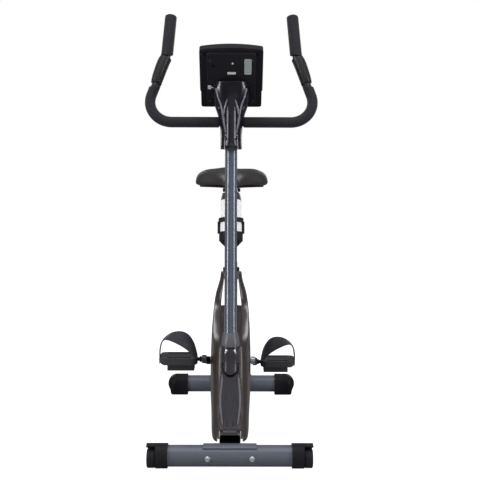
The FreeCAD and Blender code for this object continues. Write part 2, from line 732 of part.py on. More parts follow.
def bottle_parts():
    axis = lean(POST_LEAN)
    foot = bottle_place(BOTTLE_LOW)
    top = foot + axis * BOTTLE_TALL
    body = rod(foot, axis, BOTTLE_R, BOTTLE_TALL)
    body = body.makeFillet(5.0, [e for e in body.Edges if isinstance(e.Curve, Part.Circle)][-1:])
    body = body.fuse(rod(top - axis, axis, 27.0, 14))
    body = body.cut(rod(foot + axis * 2.5, axis, BOTTLE_R - 2, BOTTLE_TALL - 5))
    body = body.cut(rod(top - axis * 8, axis, 25.0, 30))
    nodes["bottle"] = body
    skirt = Part.makeCone(BOTTLE_R, 28.0, 22, top + axis, axis)
    skirt = skirt.cut(rod(top, axis, 27.3, 14))
    nozzle = Part.makeCone(11.0, 8.0, 14, top + axis * 22.9, axis)
    nodes["bottle_cap"] = skirt.fuse(nozzle)


def bottle_cage():
    """A backbone on the post, a ring, two arms and a cup."""
    axis = lean(POST_LEAN)
    foot = bottle_place(BOTTLE_LOW)
    inner = BOTTLE_R + 1.0
    ring = pipe(foot + axis * 54, axis, inner + 5.5, inner, 14)
    cup = rod(foot - axis * 3, axis, inner + 3.5, 27)
    cup = cup.fuse(Part.makeCone(18.0, inner + 3.5, 20, foot - axis * 23, axis))
    cup = cup.cut(rod(foot - axis * 0.5, axis, inner, 60))
    arms = []
    for side in SIDES:
        arm = rod(foot + axis * 20, axis, 6.0, 38)
        arm.translate(FreeCAD.Vector(side * (inner + 2.5), 0, 0))
        arms.append(arm)
    spine_box = Part.makeBox(20, 7, 100, FreeCAD.Vector(-10, -BOTTLE_OUT + POST_R + 0.2, -25))
    spine = spine_box.copy()
    spine.rotate(FreeCAD.Vector(0, 0, 0), X_AXIS, -POST_LEAN)
    spine.translate(foot)
    cage = ring.fuse([cup, spine] + arms)
    cage = cage.cut(rod(foot - axis * 0.5, axis, inner, 160))
    for reach in CAGE_SCREWS:
        seat = foot + axis * reach - KNOB_OUT * (BOTTLE_OUT - POST_R - 7.2)
        cage = cage.cut(rod(seat - KNOB_OUT * 10, KNOB_OUT, 2.5, 30)).cut(rod(seat, KNOB_OUT, 4.8, 6))
    nodes["bottle_cage"] = cage.removeSplitter()


# ---- seat -------------------------------------------------------------------------------------------
def seat_bush():
    axis = lean(SEAT_LEAN)
    top = on_seat(505)
    bush = pipe(top - axis * 88, axis, 17.9, SEAT_POST_R + RUNNING, 88)
    bush = bush.fuse(pipe(top, axis, 21.0, SEAT_POST_R + RUNNING, 4))
    nodes["seat_bush"] = bush.cut(pin_hole(4.6))


def seat_post():
    axis = lean(SEAT_LEAN)
    start = on_seat(357)
    pivot = on_seat(SADDLE_PIVOT_UP)
    length = (pivot - start).Length
    tube = pipe(start, axis, SEAT_POST_R, SEAT_POST_R - WALL, length - 30)
    plug = rod(start + axis * (length - 36), axis, SEAT_POST_R, 6)
    neck = rod(start + axis * (length - 31), axis, 11.0, 28)
    core = rod(pivot - X_AXIS * 14, X_AXIS, 13.0, 28)
    post = tube.fuse([plug, neck, core]).cut(rod(pivot - X_AXIS * 20, X_AXIS, BOLT_R + RUNNING, 40))
    for step in range(7):
        hole = rod(start + axis * (30 + 25 * step), pin_direction(), 4.3, 30)
        post = post.cut(hole)
    nodes["seat_post"] = post


def seat_pin():
    """Spring-loaded pin with a T handle that locks the seat post's height."""
    out = pin_direction()
    start = on_seat(476)
    shank = rod(start + out * (SEAT_POST_R + 0.6), out, 4.2, 30)
    handle = rod(start + out * 50 - X_AXIS * 28, X_AXIS, 7.0, 56)
    handle = handle.makeFillet(3.0, [e for e in handle.Edges if isinstance(e.Curve, Part.Circle)])
    boss = rod(start + out * 40, out, 8.0, 10)
    nodes["seat_pin"] = shank.fuse([boss, handle])


# place, half width, underside and top of the saddle pad
SADDLE = (
    (566, 14.0, 783, 797),
    (585, 27.0, 776, 804),
    (625, 34.0, 773, 808),
    (668, 46.0, 771, 811),
    (705, 78.0, 771, 817),
    (742, 118.0, 771, 825),
    (778, 135.0, 771, 829),
    (805, 126.0, 773, 826),
    (824, 96.0, 779, 818),
    (834, 55.0, 787, 808),
)
SADDLE_OUTLINE = ((0, 1), (0.45, 0.95), (0.8, 0.83), (0.935, 0.62), (0.985, 0.3), (0.99, 0.12),
                  (0.965, 0.02), (0.9, 0), (0.75, 0), (0.5, 0), (0.25, 0))
PAN_LOW, PAN_TOP = 764.5, 770.4      # the pan's underside and upper side

# place and half width of the pan under the pad
SADDLE_PAN = ((582, 12.0), (625, 25.0), (668, 37.0), (705, 64.0), (742, 100.0), (778, 116.0), (803, 102.0),
              (820, 60.0))


def saddle_section(back, half, low, high):
    right = [at(x * half, back, low + z * (high - low)) for x, z in SADDLE_OUTLINE]
    left = [at(-x * half, back, low + z * (high - low)) for x, z in reversed(SADDLE_OUTLINE[1:])]
    spline = Part.BSplineCurve()
    spline.interpolate(right + [at(0, back, low)] + left, PeriodicFlag=True)
    return Part.Wire([spline.toShape()])


def saddle():
    pivot = on_seat(SADDLE_PIVOT_UP)
    pivot_back = pivot.y + MIDDLE
    recess = cross_rod((pivot_back, SADDLE_PIVOT_UP), 15.0, -34, 34)
    nodes["saddle_pad"] = loft([saddle_section(*row) for row in SADDLE]).cut(recess)
    right = [at(half, back, PAN_LOW) for back, half in SADDLE_PAN]
    left = [at(-half, back, PAN_LOW) for back, half in reversed(SADDLE_PAN)]
    spline = Part.BSplineCurve()
    spline.interpolate(right + left, PeriodicFlag=True)
    pan = Part.Face(Part.Wire([spline.toShape()])).extrude(FreeCAD.Vector(0, 0, PAN_TOP - PAN_LOW))
    nodes["saddle_base"] = pan.cut(recess)
    rails = []
    for side in SIDES:
        front = at(side * 18, pivot_back - 62, 745.5)
        rear = at(side * 18, pivot_back + 62, 745.5)
        legs = [rod(place - Z_AXIS * 3.5, Z_AXIS, 3.5, PAN_LOW - 742.0) for place in (front, rear)]
        rails.append(rod(front, Y_AXIS, 3.5, 124).fuse(legs))
    nodes["saddle_rails"] = Part.makeCompound(rails)
    clamp = rod(pivot - X_AXIS * 24, X_AXIS, BOLT_R, 48)
    pieces = []
    for side in SIDES:
        low = min(side * 14.4, side * 24)
        cheek = rod(pivot + X_AXIS * low, X_AXIS, 14.0, 9.6)
        cheek = cheek.cut(rod(at(side * 18, 600, 745.5), Y_AXIS, 3.5, 200))
        low = min(side * 24, side * 31)
        pieces += [cheek, rod(pivot + X_AXIS * low, X_AXIS, 6.5, 7)]
    nodes["saddle_clamp"] = clamp.fuse(pieces)


# ---- drive --------------------------------------------------------------------------------------------
ARM_IN = 66.0
BELT_LOW, BELT_HIGH = 35.0, 47.0
BELT_THICK = 2.5


def crank_turned(shape, side):
    """Turns a shape built with the crank pointing forward to where this side's crank points."""
    turned = shape.copy()
    degrees = -CRANK_TILT if side < 0 else 180.0 - CRANK_TILT
    turned.rotate(at(0, *CRANK), X_AXIS, degrees)
    return turned


def crank_parts():
    axle = cross_rod(CRANK, 8.5, -66, 66)
    bosses = [cross_rod(CRANK, 13.0, *sorted((side * ARM_IN, side * 79.0))) for side in SIDES]
    nodes["crank_axle"] = axle.fuse(bosses)
    spindles = []
    for name, side in (("crank_arm_left", -1), ("crank_arm_right", 1)):
        eye_back = CRANK[0] - CRANK_LENGTH
        side_view = side_prism([(CRANK[0] - 9, CRANK[1] - 12), (eye_back, CRANK[1] - 10),
                                (eye_back, CRANK[1] + 10), (CRANK[0] - 9, CRANK[1] + 12)], -120, 120)
        side_view = side_view.fuse(cross_rod((eye_back, CRANK[1]), 13.0, -120, 120))
        plan = [(ARM_IN + 1, CRANK[0]), (79, CRANK[0]), (79, CRANK[0] - 24), (89, CRANK[0] - 95),
                (89, eye_back - 14), (75, eye_back - 14), (75, CRANK[0] - 95), (ARM_IN + 1, CRANK[0] - 36)]
        points = [at(side * x, back, CRANK[1] - 40) for x, back in plan]
        strip = Part.Face(Part.makePolygon(points + points[:1])).extrude(FreeCAD.Vector(0, 0, 80))
        arm = side_view.common(strip)
        arm = arm.cut(cross_rod(CRANK, 13.0, -120, 120))
        low, high = sorted((side * 74.0, side * 96.0))
        spindle_hole = cross_rod((eye_back, CRANK[1]), 6.0, low, high)
        arm = arm.cut(spindle_hole)
        low, high = sorted((side * 76.0, side * 206.0))
        spindle = cross_rod((eye_back, CRANK[1]), 6.0, low, high)
        low, high = sorted((side * 90.0, side * 96.0))
        spindle = spindle.fuse(cross_rod((eye_back, CRANK[1]), 9.0, low, high))
        nodes[name] = crank_turned(arm, side)
        spindles.append(crank_turned(spindle, side))
    nodes["pedal_spindles"] = Part.makeCompound(spindles)


def crank_pulley():
    rim = cross_pipe(CRANK, PULLEY_R, PULLEY_R - 6, 34, 48)
    web = cross_pipe(CRANK, PULLEY_R - 4, 8.5, 39, 43)
    hub = cross_pipe(CRANK, 20.0, 8.5, 33, 49)
    pulley = rim.fuse([web, hub])
    for step in range(5):
        turn = 2.0 * math.pi * step / 5
        place = (CRANK[0] + 60 * math.cos(turn), CRANK[1] + 60 * math.sin(turn))
        pulley = pulley.cut(cross_rod(place, 22.0, 30, 50))
    nodes["crank_pulley"] = pulley


def tangent_loop(radius_a, radius_b, x0, x1):
    """The solid inside a belt line round the crank pulley and the small pulley."""
    ax, az = CRANK
    bx, bz = FLYWHEEL
    apart = math.hypot(bx - ax, bz - az)
    heading = math.atan2(bz - az, bx - ax)
    spread = math.acos((radius_a - radius_b) / apart)

    def point(centre, radius, turn):
        return at(x0, centre[0] + radius * math.cos(turn), centre[1] + radius * math.sin(turn))

    top, low = heading - spread, heading + spread
    a_top, a_low = point(CRANK, radius_a, top), point(CRANK, radius_a, low)
    b_top, b_low = point(FLYWHEEL, radius_b, top), point(FLYWHEEL, radius_b, low)
    a_far = point(CRANK, radius_a, heading + math.pi)
    b_far = point(FLYWHEEL, radius_b, heading)
    edges = [Part.Arc(a_low, a_far, a_top).toShape(), Part.makeLine(a_top, b_top),
             Part.Arc(b_top, b_far, b_low).toShape(), Part.makeLine(b_low, a_low)]
    return Part.Face(Part.Wire(edges)).extrude(FreeCAD.Vector(x1 - x0, 0, 0))


def drive_belt():
    outer = tangent_loop(PULLEY_R + GAP + BELT_THICK, SMALL_PULLEY_R + GAP + BELT_THICK, BELT_LOW, BELT_HIGH)
    inner = tangent_loop(PULLEY_R + GAP, SMALL_PULLEY_R + GAP, BELT_LOW, BELT_HIGH)
    nodes["drive_belt"] = outer.cut(inner)


def flywheel():
    wheel = cross_rod(FLYWHEEL, FLYWHEEL_R, -47, -30)
    wheel = wheel.cut(cross_pipe(FLYWHEEL, 60.0, 22.0, -48, -42))
    wheel = wheel.cut(cross_pipe(FLYWHEEL, 60.0, 22.0, -36, -29))
    nodes["flywheel"] = wheel.cut(cross_rod(FLYWHEEL, 6.0, -60, 0))
    axle = cross_rod(FLYWHEEL, 6.0, -51, 49)
    nodes["flywheel_axle"] = axle.fuse(cross_rod(FLYWHEEL, SMALL_PULLEY_R, 34, 48))


def magnet_bracket():
    """The arc of magnets beside the flywheel's rim, on its pivot."""
    yoke = arc_strip(FLYWHEEL, FLYWHEEL_R + 5, FLYWHEEL_R + 12, 75, 150, -52, -28)
    lug = cross_rod(MAGNET_PIVOT, 9.0, -52, -28)
    lug = lug.cut(cross_rod(FLYWHEEL, FLYWHEEL_R + 5, -60, -20))
    yoke = yoke.fuse(lug)
    nodes["magnet_bracket"] = yoke.cut(cross_rod(MAGNET_PIVOT, BOLT_R + RUNNING, -60, -20))


# ---- pedals --------------------------------------------------------------------------------------------
PEDAL_IN, PEDAL_OUT = 100.0, 220.0
STRAP_THICK = 2.5
# places across and above the spindle of the strap's two edges; the rear edge arches higher
STRAP_REAR = ((101.5, -6), (101.5, 10), (104.5, 36), (113, 62), (130, 81), (157, 89), (183, 84), (205, 70),
              (219, 48), (222.5, 28), (222.5, 10), (221.5, -6))
STRAP_FRONT = ((101.5, -6), (101.5, 6), (106, 16), (118, 27), (136, 40), (158, 53), (180, 64), (200, 69),
               (213, 58), (217.5, 34), (219.5, 12), (221.5, -6))
STRAP_REAR_BACK, STRAP_FRONT_BACK = 4.0, -30.0


def strap_wire(side, back, up, edge):
    """One edge of the strap as a thin closed outline: the line itself and the same line moved inward."""
    middle = FreeCAD.Vector(162.0, 0, 0)
    outer = [FreeCAD.Vector(x, 0, z) for x, z in edge]
    inner = []
    for index, point in enumerate(outer):
        before = outer[max(index - 1, 0)]
        after = outer[min(index + 1, len(outer) - 1)]
        along = (after - before).normalize()
        normal = FreeCAD.Vector(along.z, 0, -along.x)
        if normal.dot(middle - point) < 0:
            normal = normal * -1
        inner.append(point + normal * STRAP_THICK)
    loop = outer + inner[::-1]
    points = [at(side * p.x, back, up + p.z) for p in loop]
    return Part.makePolygon(points + points[:1])


def leaning_band(side, back, up):
    """The strap between its lower front edge and its higher rear edge."""
    front = strap_wire(side, back + STRAP_FRONT_BACK, up, STRAP_FRONT)
    rear = strap_wire(side, back + STRAP_REAR_BACK, up, STRAP_REAR)
    return Part.makeLoft([front, rear], True, True)


def pedal(side):
    """Pedal body with its weighted underside, and its arched strap."""
    degrees = math.radians(CRANK_TILT)
    reach = -CRANK_LENGTH if side < 0 else CRANK_LENGTH
    place = (CRANK[0] + reach * math.cos(degrees), CRANK[1] - reach * math.sin(degrees))
    back, up = place
    outline = [(PEDAL_IN + 4, up + 12), (PEDAL_OUT - 3, up + 12), (PEDAL_OUT, up + 9), (PEDAL_OUT, up + 2),
               (PEDAL_OUT - 7, up - 5), (PEDAL_OUT - 16, up - 9), (PEDAL_IN + 4, up - 9)]
    body = front_prism([(side * x, z) for x, z in outline], back - 46, back + 46)
    rim = block(side * (PEDAL_IN + 4), side * PEDAL_OUT, back - 46, back + 46, up - 9, up + 12)
    corners = [e for e in rim.Edges if abs(e.tangentAt(e.FirstParameter).z) > 0.9]
    body = body.common(rim.makeFillet(20.0, corners))
    weight = block(side * 112, side * 195, back - 24, back + 24, up - 31, up - 9)
    body = body.fuse(weight).removeSplitter()
    for row in (-32, 32):
        slot = block(side * 122, side * 196, back + row - 7, back + row + 7, up - 12, up + 14)
        body = body.cut(slot)
    low, high = sorted((side * 90.0, side * 207.5))
    body = body.cut(cross_rod(place, 6.0 + RUNNING, low, high))
    strap = leaning_band(side, back, up)
    strap = strap.cut(body).cut(cross_rod(place, 8.0, -230, 230))
    return body, strap


def pedals():
    for name, side in (("left", -1), ("right", 1)):
        body, strap = pedal(side)
        nodes["pedal_" + name] = body
        nodes["strap_" + name] = strap


# ---- fasteners ------------------------------------------------------------------------------------------
def frame_bolts():
    """All the M8 bolts and their nuts."""
    bolts = []
    for side in SIDES:
        across = side * BOLT_SPACING / 2
        bolts.append(button_bolt(at(across, -BAR_R, BAR_UP), Y_AXIS, 74))
        bolts.append(button_bolt(at(across, WHEELBASE + BAR_R, BAR_UP), Y_AXIS * -1, 74))
        start = side * 232.0
        pin = rod(at(start, *WHEEL_PLACE), X_AXIS * -side, BOLT_R, 34)
        bolts.append(pin.fuse(rod(at(start, *WHEEL_PLACE), X_AXIS * -side, 6.5, 3)))
    bolts.append(cross_rod(MAGNET_PIVOT, BOLT_R, -54, -23).fuse(cross_rod(MAGNET_PIVOT, 6.5, -55, -52.3)))
    nodes["frame_bolts"] = Part.makeCompound(bolts)
    for name in ("post_stub", "front_post"):
        for up in POST_BOLTS_UP:
            hole = rod(on_post(up) - KNOB_OUT * 40, KNOB_OUT, 3.0, 80)
            nodes[name] = nodes[name].cut(hole)


def small_screw(start, axis, length):
    head = rod(start - axis * 2.0, axis, 4.0, 2.0).cut(rod(start - axis * 2.2, axis, 1.6, 1.4))
    return head.fuse(rod(start, axis, 1.9, length))


def cover_screws():
    """Self-tapping screws of the covers, and the machine screws of clamp, cage and post foot."""
    screws = []
    for across, back in CLAMP_BOLTS:
        shank = rod(at(across, back, 952), Z_AXIS, 2.5, 56)
        screws.append(shank.fuse(rod(at(across, back, 1007), Z_AXIS, 4.2, 4)))
    for up in POST_BOLTS_UP:
        screws.append(rod(on_post(up) + KNOB_OUT * 24.0, KNOB_OUT * -1, 3.0, 44).fuse(
            rod(on_post(up) + KNOB_OUT * 22.6, KNOB_OUT, 5.5, 4)))
    axis = lean(POST_LEAN)
    foot = bottle_place(BOTTLE_LOW)
    for reach in CAGE_SCREWS:
        start = foot + axis * reach - KNOB_OUT * (BOTTLE_OUT - POST_R - 7.2)
        shank = rod(start - KNOB_OUT * 12, KNOB_OUT, 2.5, 12.0)
        screws.append(shank.fuse(rod(start, KNOB_OUT, 4.5, 1.2)))
        hole = rod(start - KNOB_OUT * 20, KNOB_OUT, 2.5, 20)
        nodes["front_post"] = nodes["front_post"].cut(hole)
    nodes["cover_screws"] = Part.makeCompound(screws)


def build():
    foot_bars()
    cradles()
    front_caps()
    transport_wheels()
    rear_caps()
    main_tube()
    post_stub()
    seat_tube()
    crank_shell()
    axle_brackets()
    bearings()
    front_post()
    bar_clamp()
    side_covers_and_seat_cover()
    spine_cover()
    post_boot()
    neck_covers()
    console()
    sensor_plug()
    tension_knob()
    handlebar()
    bottle_parts()
    bottle_cage()
    seat_bush()
    seat_post()
    seat_pin()
    saddle()
    crank_parts()
    crank_pulley()
    drive_belt()
    flywheel()
    magnet_bracket()
    pedals()
    frame_bolts()
    cover_screws()


build()
os.makedirs("parts", exist_ok=True)
for node, shape in nodes.items():
    shape.exportStep("parts/%s.step" % node)
    print("%-20s solids %2d valid %s volume %9.0f" % (node, len(shape.Solids), shape.isValid(), shape.Volume))
whole = Part.makeCompound(list(nodes.values())).BoundBox
print("nodes", len(nodes))
print("x %.1f %.1f  y %.1f %.1f  z %.1f %.1f" % (whole.XMin, whole.XMax, whole.YMin, whole.YMax,
                                                 whole.ZMin, whole.ZMax))
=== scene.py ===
import math

import bmesh
import bpy
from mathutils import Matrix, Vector
from mathutils.bvhtree import BVHTree


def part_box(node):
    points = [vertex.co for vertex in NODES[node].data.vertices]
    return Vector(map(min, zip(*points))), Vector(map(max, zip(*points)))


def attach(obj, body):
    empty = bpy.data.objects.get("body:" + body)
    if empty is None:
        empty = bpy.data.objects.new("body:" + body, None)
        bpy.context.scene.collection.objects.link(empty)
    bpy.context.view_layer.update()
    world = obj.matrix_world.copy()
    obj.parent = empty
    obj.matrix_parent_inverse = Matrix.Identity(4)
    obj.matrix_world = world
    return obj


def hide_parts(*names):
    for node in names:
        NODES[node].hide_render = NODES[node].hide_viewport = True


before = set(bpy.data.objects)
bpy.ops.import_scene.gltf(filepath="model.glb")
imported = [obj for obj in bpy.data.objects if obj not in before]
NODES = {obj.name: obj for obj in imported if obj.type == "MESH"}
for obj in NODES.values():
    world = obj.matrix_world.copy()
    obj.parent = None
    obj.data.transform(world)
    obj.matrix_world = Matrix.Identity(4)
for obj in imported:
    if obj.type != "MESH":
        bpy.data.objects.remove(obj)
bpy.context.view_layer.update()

SIDES = (("left", -1), ("right", 1))
FULL_TURN = 2 * math.pi


# ---- materials -------------------------------------------------------------------------------
def linear(red, green, blue):
    """A display colour, 0 to 255, as Blender's linear colour."""
    def one(value):
        value /= 255.0
        return value / 12.92 if value <= 0.04045 else ((value + 0.055) / 1.055) ** 2.4
    return (one(red), one(green), one(blue), 1.0)


class Surface:
    """A procedural material: a shader with colour variation, uneven roughness and stacked bumps."""

    def __init__(self, name, colour, rough, metallic=0.0, coat=0.0, coat_rough=0.08, specular=0.5):
        self.material = bpy.data.materials.new(name)
        self.material.use_nodes = True
        self.tree = self.material.node_tree
        self.shader = self.tree.nodes["Principled BSDF"]
        self.colour = colour
        self.rough = rough
        self.normal = None
        self.shade = None
        self.put("Metallic", metallic)
        self.put("Coat Weight", coat)
        self.put("Coat Roughness", coat_rough)
        self.put("Specular IOR Level", specular)
        self.put("Base Color", colour)
        self.put("Roughness", rough)
        self.place = self.node("ShaderNodeTexCoord").outputs["Object"]

    def put(self, socket, value):
        self.shader.inputs[socket].default_value = value

    def node(self, kind, **settings):
        made = self.tree.nodes.new(kind)
        for key, value in settings.items():
            if key.startswith("in_"):
                made.inputs[key[3:].replace("_", " ")].default_value = value
            else:
                setattr(made, key, value)
        return made

    def link(self, a, b):
        self.tree.links.new(a, b)

    def stretched(self, scale):
        """The object coordinates, scaled by a different amount along each axis."""
        mapping = self.node("ShaderNodeMapping")
        mapping.inputs["Scale"].default_value = scale
        self.link(self.place, mapping.inputs["Vector"])
        return mapping.outputs["Vector"]

    def noise(self, scale, detail, place=None):
        made = self.node("ShaderNodeTexNoise", in_Scale=scale, in_Detail=detail, in_Roughness=0.6)
        self.link(place or self.place, made.inputs["Vector"])
        return made.outputs["Fac"]

    def spread(self, source, low, high, to_low, to_high):
        made = self.node("ShaderNodeMapRange", in_From_Min=low, in_From_Max=high, in_To_Min=to_low,
                         in_To_Max=to_high)
        self.link(source, made.inputs["Value"])
        return made.outputs["Result"]

    def mix(self, factor, first, second):
        """Mixes two colours, each given as numbers or as a socket, into the base colour."""
        made = self.node("ShaderNodeMix", data_type="RGBA")
        self.link(factor, made.inputs["Factor"])
        for socket, value in (("A", first), ("B", second)):
            target = [i for i in made.inputs if i.name == socket and i.type == "RGBA"][0]
            if isinstance(value, tuple):
                target.default_value = value
            else:
                self.link(value, target)
        result = [o for o in made.outputs if o.type == "RGBA"][0]
        self.link(result, self.shader.inputs["Base Color"])
        self.shade = result

    def vary(self, amount, scale):
        """Lighter and darker patches of the base colour."""
        dark = tuple(c * (1.0 - amount) for c in self.colour[:3]) + (1.0,)
        light = tuple(min(1.0, c * (1.0 + amount)) for c in self.colour[:3]) + (1.0,)
        factor = self.spread(self.noise(scale, 5.0), 0.3, 0.7, 0.0, 1.0)
        self.mix(factor, dark, light)
        return self

    def uneven(self, amount, scale):
        """Roughness that wanders about its mean."""
        wander = self.spread(self.noise(scale, 4.0), 0.3, 0.7, self.rough - amount, self.rough + amount)
        self.link(wander, self.shader.inputs["Roughness"])
        return self

    def bump(self, height, strength, distance):
        made = self.node("ShaderNodeBump", in_Strength=strength, in_Distance=distance)
        self.link(height, made.inputs["Height"])
        if self.normal is not None:
            self.link(self.normal, made.inputs["Normal"])
        self.normal = made.outputs["Normal"]
        self.link(self.normal, self.shader.inputs["Normal"])
        return self

    def grain(self, scale, strength, distance, place=None):
        return self.bump(self.noise(scale, 3.0, place), strength, distance)

    def cells(self, scale, strength, distance, feature="F1"):
        made = self.node("ShaderNodeTexVoronoi", feature=feature, in_Scale=scale)
        self.link(self.place, made.inputs["Vector"])
        return self.bump(made.outputs["Distance"], strength, distance)

    def wear(self, colour, amount):
        """Lighter, rubbed edges."""
        point = self.node("ShaderNodeNewGeometry").outputs["Pointiness"]
        edge = self.spread(point, 0.53, 0.62, 0.0, amount)
        self.mix(edge, self.shade if self.shade is not None else self.colour, colour)
        return self


def make_materials():
    """Every look in the scene, by name."""
    made = {}

    paint = Surface("post_paint", linear(40, 54, 76), 0.3, metallic=0.35, coat=1.0, coat_rough=0.07)
    paint.vary(0.07, 9.0).uneven(0.05, 40.0).grain(420.0, 0.05, 0.0003).grain(2600.0, 0.05, 0.0001)
    paint.wear(linear(150, 158, 170), 0.35)
    made["post_paint"] = paint

    grey = Surface("bar_paint", linear(76, 83, 99), 0.42, metallic=0.25, coat=0.25, coat_rough=0.2)
    grey.vary(0.08, 7.0).uneven(0.06, 35.0).grain(380.0, 0.06, 0.0003).grain(2400.0, 0.05, 0.0001)
    grey.wear(linear(150, 156, 165), 0.35)
    made["bar_paint"] = grey

    black = Surface("black_paint", linear(30, 30, 32), 0.42, coat=0.3, coat_rough=0.2)
    black.vary(0.2, 14.0).uneven(0.08, 40.0).grain(700.0, 0.08, 0.0003)
    black.wear(linear(95, 95, 98), 0.4)
    made["black_paint"] = black

    bright = Surface("bright_steel", linear(196, 197, 199), 0.26, metallic=1.0)
    bright.vary(0.06, 30.0).uneven(0.07, 60.0).grain(900.0, 0.05, 0.0002, place=bright.stretched((60, 1, 1)))
    made["bright_steel"] = bright

    bolt = Surface("bolt_chrome", linear(226, 227, 229), 0.3, metallic=0.9)
    bolt.vary(0.08, 60.0).uneven(0.06, 90.0).grain(1200.0, 0.04, 0.0002)
    made["bolt_chrome"] = bolt

    iron = Surface("flywheel_iron", linear(74, 74, 76), 0.5, metallic=0.8)
    iron.vary(0.2, 25.0).uneven(0.1, 40.0).grain(500.0, 0.25, 0.0006)
    made["flywheel_iron"] = iron

    shell = Surface("housing_plastic", linear(60, 52, 49), 0.34, coat=0.25, coat_rough=0.2, specular=0.4)
    shell.vary(0.08, 6.0).uneven(0.04, 22.0).grain(500.0, 0.02, 0.0001)
    shell.wear(linear(120, 112, 108), 0.3)
    made["housing_plastic"] = shell

    spine = Surface("spine_plastic", linear(34, 30, 39), 0.36, coat=0.25, coat_rough=0.16, specular=0.3)
    spine.vary(0.08, 7.0).uneven(0.05, 25.0).grain(600.0, 0.03, 0.0001)
    spine.wear(linear(130, 126, 132), 0.35)
    made["spine_plastic"] = spine

    boot = Surface("boot_plastic", linear(58, 54, 62), 0.38, coat=0.25, coat_rough=0.16, specular=0.35)
    boot.vary(0.08, 9.0).uneven(0.05, 25.0).grain(600.0, 0.03, 0.0001)
    boot.wear(linear(130, 126, 132), 0.35)
    made["boot_plastic"] = boot

    collar = Surface("collar_plastic", linear(104, 102, 110), 0.4, coat=0.2, coat_rough=0.2)
    collar.vary(0.08, 20.0).uneven(0.05, 40.0).grain(600.0, 0.05, 0.0001)
    collar.wear(linear(150, 146, 152), 0.3)
    made["collar_plastic"] = collar

    neck = Surface("neck_plastic", linear(13, 13, 25), 0.26, coat=0.5, coat_rough=0.1, specular=0.3)
    neck.vary(0.1, 8.0).uneven(0.04, 30.0).grain(500.0, 0.015, 0.0001)
    neck.wear(linear(120, 118, 128), 0.35)
    made["neck_plastic"] = neck

    # painted highlight: a lighter lilac-grey look for the faces of the neck's raised creases, standing for
    # the highlight lines they catch
    crease = Surface("neck_crease_highlight", linear(128, 125, 142), 0.3, coat=0.8, coat_rough=0.12)
    crease.vary(0.12, 10.0).uneven(0.05, 30.0).grain(500.0, 0.015, 0.0001)
    made["neck_crease_highlight"] = crease

    # painted highlight: a much lighter look for the faces of the spine shield's raised edges, standing for
    # the highlight lines along them
    edge = Surface("spine_edge_highlight", linear(104, 100, 110), 0.34, coat=0.3, coat_rough=0.16)
    edge.vary(0.12, 9.0).uneven(0.05, 25.0).grain(600.0, 0.03, 0.0001)
    made["spine_edge_highlight"] = edge

    case = Surface("console_plastic", linear(29, 28, 35), 0.56, specular=0.2)
    case.vary(0.12, 12.0).uneven(0.07, 45.0).grain(1500.0, 0.28, 0.0003).cells(900.0, 0.08, 0.0002)
    case.wear(linear(62, 61, 66), 0.3)
    made["console_plastic"] = case

    cap = Surface("cap_plastic", linear(17, 16, 21), 0.48, specular=0.18)
    cap.vary(0.14, 14.0).uneven(0.08, 40.0).grain(1300.0, 0.22, 0.0003)
    cap.wear(linear(62, 60, 66), 0.3)
    made["cap_plastic"] = cap

    wheel = Surface("wheel_plastic", linear(44, 43, 49), 0.55, specular=0.22)
    wheel.vary(0.15, 20.0).uneven(0.08, 60.0).grain(1100.0, 0.25, 0.0003)
    wheel.wear(linear(80, 78, 84), 0.4)
    made["wheel_plastic"] = wheel

    pedal = Surface("pedal_plastic", linear(50, 49, 54), 0.5, specular=0.3)
    pedal.vary(0.14, 16.0).uneven(0.08, 40.0).grain(1200.0, 0.24, 0.0003)
    pedal.wear(linear(92, 90, 96), 0.4)
    made["pedal_plastic"] = pedal

    belt = Surface("rubber", linear(62, 61, 68), 0.55, specular=0.3)
    belt.vary(0.15, 20.0).uneven(0.08, 50.0).grain(1400.0, 0.3, 0.0003)
    made["rubber"] = belt

    foam = Surface("foam", linear(44, 42, 49), 0.7, specular=0.25)
    foam.vary(0.14, 30.0).uneven(0.06, 60.0).cells(1400.0, 0.35, 0.0004).grain(700.0, 0.3, 0.0005)
    foam.put("Sheen Weight", 0.12)
    foam.put("Sheen Roughness", 0.5)
    made["foam"] = foam

    plate = Surface("pulse_plate", linear(40, 38, 43), 0.4, specular=0.4)
    plate.vary(0.08, 30.0).uneven(0.07, 60.0).grain(1000.0, 0.05, 0.0002)
    made["pulse_plate"] = plate

    vinyl = Surface("saddle_vinyl", linear(56, 52, 54), 0.5, coat=0.08, coat_rough=0.35, specular=0.35)
    vinyl.vary(0.1, 14.0).uneven(0.06, 40.0).cells(520.0, 0.14, 0.0002, "DISTANCE_TO_EDGE")
    vinyl.grain(1300.0, 0.1, 0.0002)
    made["saddle_vinyl"] = vinyl

    clear = Surface("bottle_plastic", linear(246, 246, 248), 0.4)
    clear.vary(0.02, 20.0).uneven(0.05, 30.0).grain(220.0, 0.08, 0.0004)
    clear.put("Transmission Weight", 0.12)
    # painted light: a faint white emission makes the bottle glow brighter than the lamps alone would light it
    clear.put("Emission Color", (1.0, 1.0, 1.0, 1.0))
    clear.put("Emission Strength", 0.22)
    clear.put("IOR", 1.45)
    clear.put("Subsurface Weight", 0.5)
    clear.put("Subsurface Radius", (0.02, 0.02, 0.02))
    made["bottle_plastic"] = clear

    lid = Surface("lid_plastic", linear(74, 52, 58), 0.34, coat=0.2)
    lid.vary(0.1, 20.0).uneven(0.06, 40.0).grain(900.0, 0.08, 0.0002)
    lid.wear(linear(140, 110, 110), 0.3)
    made["lid_plastic"] = lid

    white = Surface("white_plastic", linear(232, 232, 228), 0.45)
    white.vary(0.04, 40.0).uneven(0.06, 60.0).grain(1200.0, 0.1, 0.0002)
    made["white_plastic"] = white

